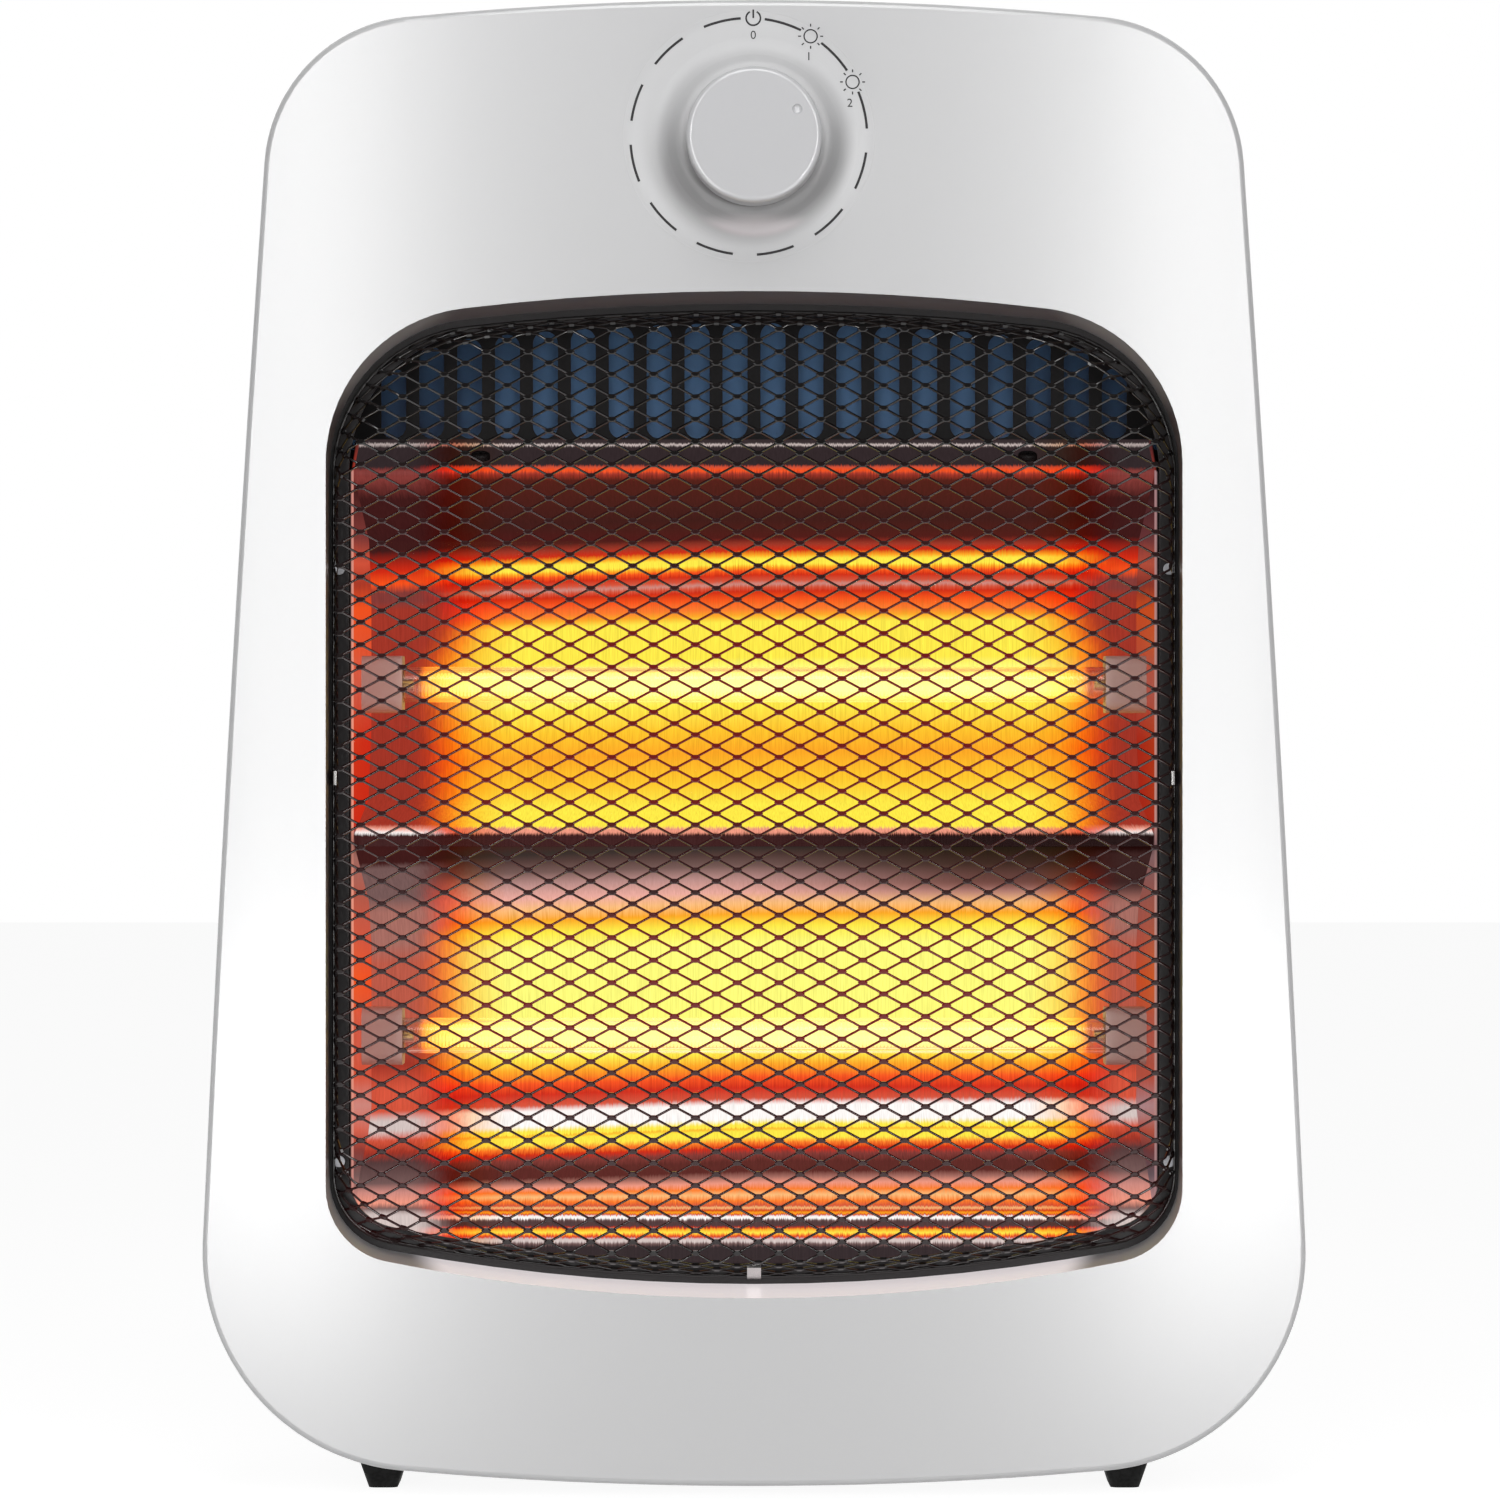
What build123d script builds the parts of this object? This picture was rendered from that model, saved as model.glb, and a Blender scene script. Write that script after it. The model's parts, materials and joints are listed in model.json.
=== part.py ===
from build123d import *
import math
import os

# Quartz heater: a small portable radiant heater with two quartz tubes behind
# an expanded-metal guard. Millimetres. X to the right, Y to the back, Z up.
# The origin is under the middle of the heater, on the surface it stands on.

# Clearances
SEAT = 0.1
RUNNING = 0.06
SLACK = 0.3
PILOT_PLAY = 0.05

# Window in the front panel, seen from the front
GROUND_GAP = 5.0
SILL_BAND = 47.6
WINDOW_HEIGHT = 241.6
HEAD_BAND = 72.7
WINDOW_HALF = 104.6
WINDOW_TOP_SAG = 8.4
WINDOW_BOTTOM_SAG = 11.3
WINDOW_TOP_R = 37.5
WINDOW_BOTTOM_R = 18.0
LIP_DEPTH = 19.9
LIP_WALL = 2.2
LIP_DRAFT = 1.9
LIP_ROUND = 0.9

# Front panel
TOP_MARGIN = 12.9
BOTTOM_MARGIN = 32.6
PANEL_TOP_SAG = 7.1
PANEL_BOTTOM_SAG = 8.6
PANEL_BULGE = 1.4
PANEL_TOP_R = 38.0
PANEL_BOTTOM_R = 53.0
PANEL_WALL = 2.5
PANEL_EDGE_R = 1.5
PANEL_INSIDE_R = 0.5
CROWN = 9.0
RIM_DEPTH = 30.0

# Knob and its raised boss
KNOB_DROP = 34.3
KNOB_R = 16.4
KNOB_THICKNESS = 11.0
KNOB_FACE = 2.5
KNOB_SKIRT = 2.2
KNOB_EDGE_R = 1.3
KNOB_HUB_R = 5.0
KNOB_REST_ANGLE = 60.0
DIMPLE_R = 1.4
DIMPLE_DEPTH = 0.8
DIMPLE_REACH = 12.0
BOSS_HEIGHT = 3.5
BOSS_TOP_R = 18.4
BOSS_BASE_R = 22.6
BOSS_FOOT_ROUND = 7.0
BOSS_TOP_ROUND = 3.0
KNOB_GAP = 0.5

# Rotary switch
SHAFT_R = 3.0
SHAFT_FLAT = 2.3
SHAFT_HOLE_R = 4.0
YOKE_T = 1.0
YOKE_LENGTH = 34.0
YOKE_HEIGHT = 14.0
SWITCH_SIZE = 30.0
SWITCH_DEPTH = 18.0
ROTOR_R = 12.0
ROTOR_DISC_R = 10.0
ROTOR_LOBE_R = 5.0
ROTOR_T = 7.0
SWITCH_SCREW_SPACING = 26.0
SWITCH_SCREW_SINK = 2.2
BLADE_LENGTH = 7.0
BLADE_WIDTH = 6.3
BLADE_T = 0.8

# Guard, a shallow pan of expanded metal
GUARD_RECESS = 9.5
GUARD_DEPTH = 10.3
GUARD_HALF = 101.9
GUARD_SIDE_GAP = 1.0
GUARD_TOP_STEP = 5.7
GUARD_BOTTOM_STEP = 6.3
GUARD_REAR_STEP = 2.0
GUARD_TOP_R = 42.0
GUARD_BOTTOM_R = 27.0
GUARD_T = 0.9
NET_PITCH_X = 25.6
NET_PITCH_Z = 13.7
NET_STRAND = 1.3
NET_EDGE = 2.5
CLIP_WIDTH = 3.4
CLIP_T = 0.8
CLIP_STEP = 2.0
SIDE_CLIP_RISE = 124.8

# Inner frame
FRAME_T = 1.2
FRAME_MARGIN = 9.0
FRAME_SIDE_STEP = 4.7
FRAME_TOP_STEP = 2.9
FRAME_BOTTOM_STEP = 5.0
FRAME_BOSS_REACH = 5.2
FRAME_BOSS_R = 3.2
FRAME_SCREW_SPREAD = 60.0
FRAME_SCREW_LENGTH = 9.0

# Reflector, folded sheets between two side plates
SHEET = 0.6
BEND_R = 1.2
REFLECTOR_SETBACK = 3.9
TROUGH_DEPTH = 70.0
VENT_BAND = 41.3
LEDGE_DEPTH = 19.4
LEDGE_RISE = 7.5
UPTURN = 1.6
NOSE_R = 0.9
NOSE_REACH = 1.9
SILL_LIP = 17.0
LOWER_TROUGH = 93.8
TOP_FACET_DEPTH = 60.0
TOP_FACET_DROP = 14.9
TOP_BACK_DROP = 30.9
FLOOR_BACK_RISE = 26.6
FLOOR_KNEE_RISE = 8.1
KNEE_DEPTH = 58.0
RIDGE_LIP = 3.0
CEILING_DROP = 18.2
CEILING_BACK_DROP = 29.4
SILL_BACK_RISE = 22.4
SILL_KNEE_RISE = 15.9
SILL_MID_RISE = 9.4
SILL_MID_DEPTH = 26.0
SILL_DROP = 3.2
SIDE_T = 0.8
FLANGE = 5.0
SIDE_SCREW_INSET = 24.0
SIDE_PLATE_RISE = 1.2
LIP_SETBACK = 2.0
RIDGE_TUCK = 1.4
KNEE_STEP = 4.0

# Vent baffle and heat shield
BAFFLE_T = 1.0
SLOT_PITCH = 9.5
SLOT_WIDTH = 6.25
SLOT_EDGE = 4.0
SLOT_TOP_GAP = 3.0
BAFFLE_OVERHANG = 4.0
BAFFLE_RIM = 3.5
BAFFLE_CORNER_R = 12.0
BAFFLE_EAR = 7.0
BAFFLE_EAR_HEIGHT = 16.0
LEDGE_FLANGE = 14.0
LEDGE_SCREW_SPREAD = 68.0
LEDGE_SCREW_DEPTH = 9.0
SHIELD_T = 0.8
SHIELD_AIR = 1.6
SHIELD_TOP_GAP = 5.0

# Quartz tubes, coils and end caps
TUBE_DEPTH = 36.0
UPPER_TUBE_RISE = 37.4
LOWER_TUBE_RISE = 42.4
TUBE_R = 4.5
TUBE_WALL = 1.0
CAP_LENGTH = 10.2
CAP_SIZE = 14.4
CAP_ROUND = 3.0
CAP_NECK_R = 5.2
CAP_NECK = 4.0
CAP_BORE = 6.2
CLIP_RING_R = 8.0
PIN_R = 1.5
PIN_REACH = 9.0
PIN_PROUD = 2.6
PIN_TAIL = 1.6
COIL_R = 2.5
COIL_WIRE_R = 0.45
COIL_TURNS = 24
COIL_LEAD = 5.0

# Rear casing
CASING_WALL = 2.5
CASING_INSET = 2.9
SPIGOT_LAP = 8.0
SPIGOT_DEPTH = 12.0
TAPER_TOP = 13.0
TAPER_BOTTOM = 1.5
TAPER_TOP_HALF = 10.0
TAPER_BOTTOM_HALF = 12.0
CASING_EDGE_R = 9.0
REAR_AIR = 9.6
POST_R = 5.0
POST_REACH = 3.5
UPPER_POST_INSET = 37.5
UPPER_POST_DROP = 48.9
LOWER_POST_INSET = 33.2
LOWER_POST_RISE = 41.0
WELL_R = 6.2
WELL_BORE_R = 4.2
WELL_FLOOR = 2.4
CASING_SCREW_LENGTH = 16.0
VENT_WIDTH = 3.0
VENT_LENGTH = 30.0
VENT_PITCH = 9.0
VENT_COLUMNS = 15
VENT_ROW_GAP = 40.0
UPPER_VENT_DROP = 98.0
LOWER_VENT_RISE = 52.0
GRIP_LENGTH = 96.0
GRIP_HEIGHT = 22.0
GRIP_DEPTH = 20.0
GRIP_DROP = 47.0
GRIP_WALL = 2.2

# Feet
FOOT_INSET = 44.5
FOOT_SEAT_Z = 10.0
FOOT_TOP_WIDTH = 13.4
FOOT_BOTTOM_WIDTH = 7.2
FOOT_TOP_LENGTH = 26.0
FOOT_BOTTOM_LENGTH = 18.0
FRONT_FOOT_DEPTH = 49.0
REAR_FOOT_DEPTH = 89.0
SEAT_BLOCK = 12.0
SEAT_RIM = 0.8
FOOT_SCREW_GRIP = 8.0
FOOT_PILOT = 10.0

# Tip-over switch on the floor of the casing
TIP_DEPTH = 70.0
PAD_RISE = 6.2
PAD_PILOT = 3.0
TIP_WIDTH = 24.0
TIP_LENGTH = 20.0
TIP_WALL = 2.7
TIP_CHAMBER_R = 6.6
TIP_TRAVEL = 6.0
PLUNGER_R = 4.0
COLLAR_R = 6.0
COLLAR_T = 2.0
STEM_R = 2.2
SPRING_R = 4.4
SPRING_WIRE_R = 0.4
SPRING_TURNS = 6
SPRING_ROOM = 9.6
TIP_ROOF = 3.0
BRIDGE_T = 0.8
BRIDGE_LENGTH = 14.0
BRIDGE_WIDTH = 4.0
TIP_COVER_HEIGHT = 15.0
TIP_COVER_WALL = 1.5
PAD_SCREW_INSET = 2.6
SCREW_LEDGE = 4.0
CONTACT_GAP = 1.5

# Terminal block, cord clamp and gland
BLOCK_X = 46.0
BLOCK_DEPTH = 66.0
BLOCK_WIDTH = 44.0
BLOCK_LENGTH = 18.0
BLOCK_HEIGHT = 15.0
BLOCK_POLES = 4
POLE_PITCH = 8.0
POLE_R = 2.2
CORD_R = 3.3
CORD_RISE = 26.0
GLAND_R = 6.0
GLAND_FLANGE_R = 8.5
GLAND_FLANGE_T = 2.5
GLAND_LENGTH = 11.0
SADDLE_DEPTH = 97.0
SADDLE_LENGTH = 8.0
SADDLE_WIDTH = 30.0
PILLAR_WIDTH = 7.0
CLAMP_T = 3.0
CLAMP_SCREW_GRIP = 8.0

# Thermal cut-out
CUTOUT_R = 8.0
CUTOUT_T = 6.0
CUTOUT_DROP = 24.0

# Wires inside
WIRE_R = 1.1
WIRE_BEND = 5.0
WIRE_GAP = 0.2
WIRE_IN_POLE = 5.0
WIRE_STANDOFF = 12.0
BLOCK_LANE = 11.0
LOWER_LANE = 17.0
UPPER_LANE = 15.0
SWITCH_LANE = 21.0
TOP_LANE_RISE = 6.8
FLOOR_LANE_DROP = 2.8
PIN_LANE = 4.0
EARTH_LANE_RISE = 4.0
EARTH_LANE = 6.2
EARTH_RISE = 22.0

# Screws: head radius, head height, shank radius
SMALL_SCREW = (2.3, 1.6, 1.4)
PLATE_SCREW = (2.4, 1.6, 1.4)
CASING_SCREW = (3.4, 2.2, 1.9)
RECESS_T = 0.7

# Places worked out from the dimensions above
WINDOW_BOTTOM = GROUND_GAP + SILL_BAND
WINDOW_TOP = WINDOW_BOTTOM + WINDOW_HEIGHT
PANEL_BOTTOM = GROUND_GAP
PANEL_TOP = WINDOW_TOP + HEAD_BAND
PANEL_TOP_HALF = WINDOW_HALF + TOP_MARGIN
PANEL_BOTTOM_HALF = WINDOW_HALF + BOTTOM_MARGIN
CROWN_R = (PANEL_BOTTOM_HALF ** 2 + CROWN ** 2) / (2 * CROWN)
KNOB_Z = PANEL_TOP - KNOB_DROP
KNOB_REACH = BOSS_HEIGHT + KNOB_GAP + KNOB_THICKNESS

LIP_BACK = LIP_DEPTH
FRAME_FRONT = LIP_BACK + SEAT
FRAME_BACK = FRAME_FRONT + FRAME_T
SIDE_FRONT = FRAME_BACK + SEAT
TROUGH_FRONT = LIP_BACK + SEAT + REFLECTOR_SETBACK
TROUGH_BACK = TROUGH_FRONT + TROUGH_DEPTH
SIDE_BACK = TROUGH_BACK + SHEET + SHIELD_AIR + SIDE_T
SHIELD_FRONT = SIDE_BACK + SEAT
SHIELD_BACK = SHIELD_FRONT + SHIELD_T
CASING_INNER_BACK = SHIELD_BACK + REAR_AIR
CASING_BACK = CASING_INNER_BACK + CASING_WALL
DEPTH = KNOB_REACH + CASING_BACK + GLAND_FLANGE_T
PANEL_Y = KNOB_REACH - DEPTH / 2

OPENING_HALF = WINDOW_HALF - FRAME_SIDE_STEP
SIDE_INNER = OPENING_HALF - SEAT - SIDE_T
SIDE_OUTER = SIDE_INNER + SIDE_T
REFLECTOR_HALF = SIDE_INNER - SEAT
LEDGE_Z = WINDOW_TOP - VENT_BAND
CREASE_Z = LEDGE_Z + LEDGE_RISE
CREASE_DEPTH = TROUGH_FRONT + LEDGE_DEPTH
NOSE_DEPTH = TROUGH_FRONT - NOSE_REACH
NOSE_Z = LEDGE_Z - SLACK
LEDGE_RUN = CREASE_DEPTH - NOSE_DEPTH
LEDGE_CLIMB = CREASE_Z - NOSE_Z
LOWER_LIP_Z = WINDOW_BOTTOM + SILL_LIP
RIDGE_Z = LOWER_LIP_Z + LOWER_TROUGH
RIDGE_DEPTH = TROUGH_FRONT + LIP_SETBACK
SIDE_BOTTOM = WINDOW_BOTTOM + FRAME_BOTTOM_STEP + SIDE_PLATE_RISE
SIDE_TOP = CREASE_Z + UPTURN
BAFFLE_FRONT = CREASE_DEPTH + SHEET + SEAT
BAFFLE_HALF = OPENING_HALF + BAFFLE_OVERHANG
SHIELD_HALF = SIDE_OUTER + FLANGE - SEAT
SHIELD_TOP = WINDOW_TOP + SHIELD_TOP_GAP
TUBE_Y = TROUGH_FRONT + TUBE_DEPTH
TUBE_Z = {"upper": RIDGE_Z + UPPER_TUBE_RISE, "lower": LOWER_LIP_Z + LOWER_TUBE_RISE}
CAP_INNER = SIDE_INNER - SEAT - CAP_LENGTH
CAP_OUTER = SIDE_OUTER + CAP_NECK
TUBE_HALF = CAP_INNER + CAP_BORE
PIN_INNER = CAP_INNER - PIN_PROUD
PIN_OUTER = CAP_OUTER + PIN_TAIL
SIDES = {"left": -1, "right": 1}
FOOT_X = PANEL_BOTTOM_HALF - FOOT_INSET
SIDE_CLIP_Z = WINDOW_BOTTOM + SIDE_CLIP_RISE

SPIGOT_FRONT = RIM_DEPTH - SPIGOT_LAP
SPIGOT_BACK = SPIGOT_FRONT + SPIGOT_DEPTH
POST_BACK = RIM_DEPTH + POST_REACH
POSTS = [
    (side * x, z)
    for side in SIDES.values()
    for x, z in (
        (PANEL_TOP_HALF - UPPER_POST_INSET, PANEL_TOP - UPPER_POST_DROP),
        (PANEL_BOTTOM_HALF - LOWER_POST_INSET, PANEL_BOTTOM + LOWER_POST_RISE),
    )
]
CASING_FLOOR = PANEL_BOTTOM + CASING_INSET
PAD_TOP = CASING_FLOOR + PAD_RISE
GRIP_Z = PANEL_TOP - GRIP_DROP
YOKE_FRONT = PANEL_WALL + SEAT + (YOKE_LENGTH / 2) ** 2 / (2 * CROWN_R)
SWITCH_FRONT = YOKE_FRONT + YOKE_T + SEAT
SWITCH_BACK = SWITCH_FRONT + SWITCH_DEPTH

TIP_FLOOR = PAD_TOP + SEAT
COLLAR_Z = TIP_FLOOR + TIP_WALL + SLACK + TIP_TRAVEL
SPRING_Z = COLLAR_Z + COLLAR_T
TIP_CEILING = SPRING_Z + SPRING_ROOM
TIP_TOP = TIP_CEILING + TIP_ROOF
BRIDGE_Z = TIP_TOP + SLACK + TIP_TRAVEL
CONTACT_Z = BRIDGE_Z + BRIDGE_T + SLACK
CORD_Z = CASING_FLOOR + CORD_RISE
CUTOUT_Z = SHIELD_TOP - CUTOUT_DROP


def y_at(depth):
    """Y of a place that lies this far behind the foremost line of the panel."""
    return PANEL_Y + depth


def front_plane(depth):
    """Plane at this depth whose own axes are X and Z."""
    return Plane.XZ.offset(-y_at(depth))


def prism(shape, front, back):
    """Thicken a flat (x, z) shape from one depth to another."""
    return extrude(front_plane(front) * shape, amount=back - front, dir=(0, 1, 0))


def box(x0, x1, y0, y1, z0, z1):
    """Box between two corners."""
    centre = ((x0 + x1) / 2, (y0 + y1) / 2, (z0 + z1) / 2)
    return Pos(*centre) * Box(x1 - x0, y1 - y0, z1 - z0)


def rod(start, direction, radius, length):
    """Round bar from a point along a direction."""
    seat = Plane(origin=start, z_dir=direction)
    return seat * Cylinder(radius, length, align=(Align.CENTER, Align.CENTER, Align.MIN))


def outline(top, bottom, top_half, bottom_half, top_sag, bottom_sag, bulge, top_r, bottom_r):
    """Four shallow arcs with rounded corners, drawn as (x, z)."""
    shoulder = (top_half, top - top_sag)
    hip = (bottom_half, bottom + bottom_sag)
    middle = ((top_half + bottom_half) / 2 + bulge, (shoulder[1] + hip[1]) / 2)
    roof = ThreePointArc((-shoulder[0], shoulder[1]), (0, top), shoulder)
    floor = ThreePointArc((-hip[0], hip[1]), (0, bottom), hip)
    if bulge > 0:
        right = ThreePointArc(shoulder, middle, hip)
        left = ThreePointArc((-hip[0], hip[1]), (-middle[0], middle[1]), (-shoulder[0], shoulder[1]))
    else:
        right = Line(shoulder, hip)
        left = Line((-hip[0], hip[1]), (-shoulder[0], shoulder[1]))
    face = make_face([roof, right, floor, left])
    face = fillet(face.vertices().sort_by(Axis.Y)[:2], bottom_r)
    return fillet(face.vertices().sort_by(Axis.Y)[-2:], top_r)


def panel_outline(inset):
    """Outline of the front panel, drawn in by an inset."""
    return outline(
        PANEL_TOP - inset,
        PANEL_BOTTOM + inset,
        PANEL_TOP_HALF - inset,
        PANEL_BOTTOM_HALF - inset,
        PANEL_TOP_SAG,
        PANEL_BOTTOM_SAG,
        PANEL_BULGE,
        PANEL_TOP_R - inset,
        PANEL_BOTTOM_R - inset,
    )


def casing_end_outline(inset):
    """Outline of the casing's back face, drawn in by an inset."""
    inset = inset + CASING_INSET
    return outline(
        PANEL_TOP - inset - TAPER_TOP,
        PANEL_BOTTOM + inset + TAPER_BOTTOM,
        PANEL_TOP_HALF - inset - TAPER_TOP_HALF,
        PANEL_BOTTOM_HALF - inset - TAPER_BOTTOM_HALF,
        PANEL_TOP_SAG,
        PANEL_BOTTOM_SAG,
        PANEL_BULGE,
        PANEL_TOP_R - inset - TAPER_TOP_HALF / 2,
        PANEL_BOTTOM_R - inset - TAPER_BOTTOM_HALF / 2,
    )


def window_outline(grow_side, grow_top, grow_bottom):
    """Outline of the window, grown at its sides, top and bottom."""
    return outline(
        WINDOW_TOP + grow_top,
        WINDOW_BOTTOM - grow_bottom,
        WINDOW_HALF + grow_side,
        WINDOW_HALF + grow_side,
        WINDOW_TOP_SAG,
        WINDOW_BOTTOM_SAG,
        0,
        WINDOW_TOP_R + grow_side,
        WINDOW_BOTTOM_R + grow_side,
    )


def arc_drop(x, half, sag):
    """How far a shallow arc of this half-width and sag has dropped at x."""
    radius = (half ** 2 + sag ** 2) / (2 * sag)
    return radius - math.sqrt(radius ** 2 - x ** 2)


def window_top_at(x):
    """Height of the window's upper edge at a distance x from the middle."""
    x = abs(x)
    corner_x = WINDOW_HALF - WINDOW_TOP_R
    arc_z = WINDOW_TOP - arc_drop(x, WINDOW_HALF, WINDOW_TOP_SAG)
    if x <= corner_x:
        return arc_z
    centre_z = WINDOW_TOP - arc_drop(corner_x, WINDOW_HALF, WINDOW_TOP_SAG) - WINDOW_TOP_R
    corner_z = centre_z + math.sqrt(WINDOW_TOP_R ** 2 - (x - corner_x) ** 2)
    return min(arc_z, corner_z)


def crown_fall(x, inset=0.0):
    """How far the crowned face lies behind its foremost line at x."""
    radius = CROWN_R - inset
    return radius - math.sqrt(radius ** 2 - x ** 2)


def crowned_block(shape, inset, back):
    """A flat (x, z) shape made solid from the crowned face to a depth."""
    half = PANEL_BOTTOM_HALF + CROWN
    front = y_at(inset)
    wing = y_at(inset + crown_fall(half, inset))
    tail = y_at(back)
    plan = make_face(
        [
            ThreePointArc((-half, wing), (0, front), (half, wing)),
            Line((half, wing), (half, tail)),
            Line((half, tail), (-half, tail)),
            Line((-half, tail), (-half, wing)),
        ]
    )
    bar = extrude(plan, amount=PANEL_TOP + CROWN)
    return bar & prism(shape, inset - CROWN, back)


def round_front(solid, radius):
    """Round the edges of a solid's foremost face."""
    return fillet(solid.faces().sort_by(Axis.Y)[0].edges(), radius)


def round_back(solid, radius):
    """Round the edges of a solid's rearmost face."""
    return fillet(solid.faces().sort_by(Axis.Y)[-1].edges(), radius)


def folded_strip(points, thickness, half_width, bend=BEND_R):
    """Sheet folded along lines across the heater. The points are (depth, z) of its front side."""
    path = FilletPolyline(*[(y_at(depth), z) for depth, z in points], radius=bend)
    band = make_face(offset(path, amount=thickness, side=Side.LEFT))
    return extrude(Plane.YZ * band, amount=half_width, both=True)


def screw(kind, at, direction, length):
    """Pan-head screw with a cross recess. The point is under its head."""
    head_r, head_h, shank_r = kind
    seat = Plane(origin=at, z_dir=direction)
    shank = seat * Cylinder(shank_r, length, align=(Align.CENTER, Align.CENTER, Align.MIN))
    head = Cylinder(head_r, head_h, align=(Align.CENTER, Align.CENTER, Align.MAX))
    head = fillet(head.edges().sort_by(Axis.Z)[:1], head_h * 0.45)
    depth = head_h * 0.6
    for angle in (0, 90):
        bar = Box(head_r * 1.1, RECESS_T, depth, align=(Align.CENTER, Align.CENTER, Align.MIN))
        head = head - Pos(0, 0, -head_h) * Rot(0, 0, angle) * bar
    return shank + seat * head


def join_gap(point, direction):
    """Two tangent arcs between two ends, each given as a point and a direction."""
    start, end = Vector(*point[0]), Vector(*point[1])
    leave, arrive = Vector(*direction[0]).normalized(), Vector(*direction[1]).normalized()
    chord = end - start
    both = leave + arrive
    turn = 2 * (1 - leave.dot(arrive))
    along = chord.dot(both)
    if turn < 1e-9:
        reach = chord.dot(chord) / (2 * along)
    else:
        reach = (-along + math.sqrt(along ** 2 + turn * chord.dot(chord))) / turn
    middle = (start + leave * reach + end - arrive * reach) * 0.5
    first = Edge.make_tangent_arc(start, leave, middle)
    second = Edge.make_tangent_arc(middle, first % 1, end)
    return [first, second]


def wound_wire(axis_point, axis, side_dir, radius, wire_r, length, turns, lead):
    """Coil of round wire about an axis, of two arcs for each half turn, with straight ends."""
    axis = Vector(*axis).normalized()
    side_dir = Vector(*side_dir).normalized()
    across = axis.cross(side_dir)
    origin = Vector(*axis_point)
    halves = 2 * turns
    rise = length / halves

    def place(step):
        angle = math.pi * step
        spoke = side_dir * math.cos(angle) + across * math.sin(angle)
        return origin + axis * (rise * step) + spoke * radius

    def heading(step):
        angle = math.pi * step
        round_about = across * math.cos(angle) - side_dir * math.sin(angle)
        return (round_about * (math.pi * radius) + axis * rise).normalized()

    edges = []
    for step in range(halves):
        edges += join_gap((place(step), place(step + 1)), (heading(step), heading(step + 1)))
    if lead > 0:
        tail = 2 * wire_r
        far = origin + axis * (length + lead - tail)
        near = origin - axis * (lead - tail)
        edges = join_gap((near, place(0)), (axis, heading(0))) + edges
        edges += join_gap((place(halves), far), (heading(halves), axis))
        edges = [Edge.make_line(near - axis * tail, near)] + edges
        edges.append(Edge.make_line(far, far + axis * tail))
    else:
        tail = 2 * wire_r
        edges = [Edge.make_line(place(0) - heading(0) * tail, place(0))] + edges
        edges.append(Edge.make_line(place(halves), place(halves) + heading(halves) * tail))
    path = Wire(edges)
    gap = least_gap(place, turns, wire_r)
    print(f"coil of {turns} turns, radius {radius}: least gap to itself {gap:.2f} mm")
    return sweep(Plane(origin=path @ 0, z_dir=path % 0) * Circle(wire_r), path=path)


def least_gap(place, turns, wire_r):
    """Least free distance between neighbouring turns, measured on points."""
    steps = 24
    points = [place(2 * k / steps) for k in range(turns * steps + 1)]
    least = min(
        (points[k] - points[j]).length
        for k in range(len(points))
        for j in range(k + steps // 2, min(k + 2 * steps, len(points)))
    )
    return least - 2 * wire_r


def front_panel():
    """Crowned white moulding with its window, knob boss and screw bosses."""
    outer = round_front(crowned_block(panel_outline(0), 0, RIM_DEPTH), PANEL_EDGE_R)
    hollow = crowned_block(panel_outline(PANEL_WALL), PANEL_WALL, RIM_DEPTH + 1)
    hollow = round_front(hollow, PANEL_INSIDE_R)
    panel = outer + knob_boss()
    panel = panel.fillet(BOSS_FOOT_ROUND, boss_edges(panel, BOSS_BASE_R, 1.5))
    panel = panel.fillet(BOSS_TOP_ROUND, boss_edges(panel, BOSS_TOP_R, 0.3))
    panel = panel - hollow
    lip_shape = window_outline(LIP_WALL, LIP_WALL + LIP_DRAFT, LIP_WALL + LIP_DRAFT)
    panel = panel + crowned_block(lip_shape, PANEL_WALL / 2, LIP_BACK)
    panel = panel + [frame_boss(x, z) for x, z in frame_screw_places()]
    panel = panel + [casing_post(x, z) for x, z in POSTS]
    panel = panel - window_cut()
    pilot = SMALL_SCREW[2] + PILOT_PLAY
    panel = panel - [
        rod((x, y_at(LIP_BACK), z), (0, -1, 0), pilot, FRAME_SCREW_LENGTH) for x, z in frame_screw_places()
    ]
    pilot = CASING_SCREW[2] + PILOT_PLAY
    panel = panel - [rod((x, y_at(POST_BACK), z), (0, -1, 0), pilot, CASING_SCREW_LENGTH) for x, z in POSTS]
    through = BOSS_HEIGHT + PANEL_WALL + 4
    panel = panel - rod((0, y_at(-BOSS_HEIGHT - 1), KNOB_Z), (0, 1, 0), SHAFT_HOLE_R, through)
    for side in SIDES.values():
        x = side * SWITCH_SCREW_SPACING / 2
        head_r = PLATE_SCREW[0] + SLACK
        panel = panel - rod((x, y_at(-BOSS_HEIGHT - 1), KNOB_Z), (0, 1, 0), head_r, 1 + SWITCH_SCREW_SINK)
        shank_r = PLATE_SCREW[2] + SLACK
        panel = panel - rod((x, y_at(-BOSS_HEIGHT), KNOB_Z), (0, 1, 0), shank_r, through)
    return panel


def knob_boss():
    """Raised cone that carries the knob, rooted in the panel's wall."""
    slope = (BOSS_BASE_R - BOSS_TOP_R) / BOSS_HEIGHT
    root = PANEL_WALL * 0.8
    upright = (Align.CENTER, Align.CENTER, Align.MIN)
    cone = Cone(BOSS_BASE_R + slope * root, BOSS_TOP_R, BOSS_HEIGHT + root, align=upright)
    return Plane(origin=(0, y_at(root), KNOB_Z), z_dir=(0, -1, 0)) * cone


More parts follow.
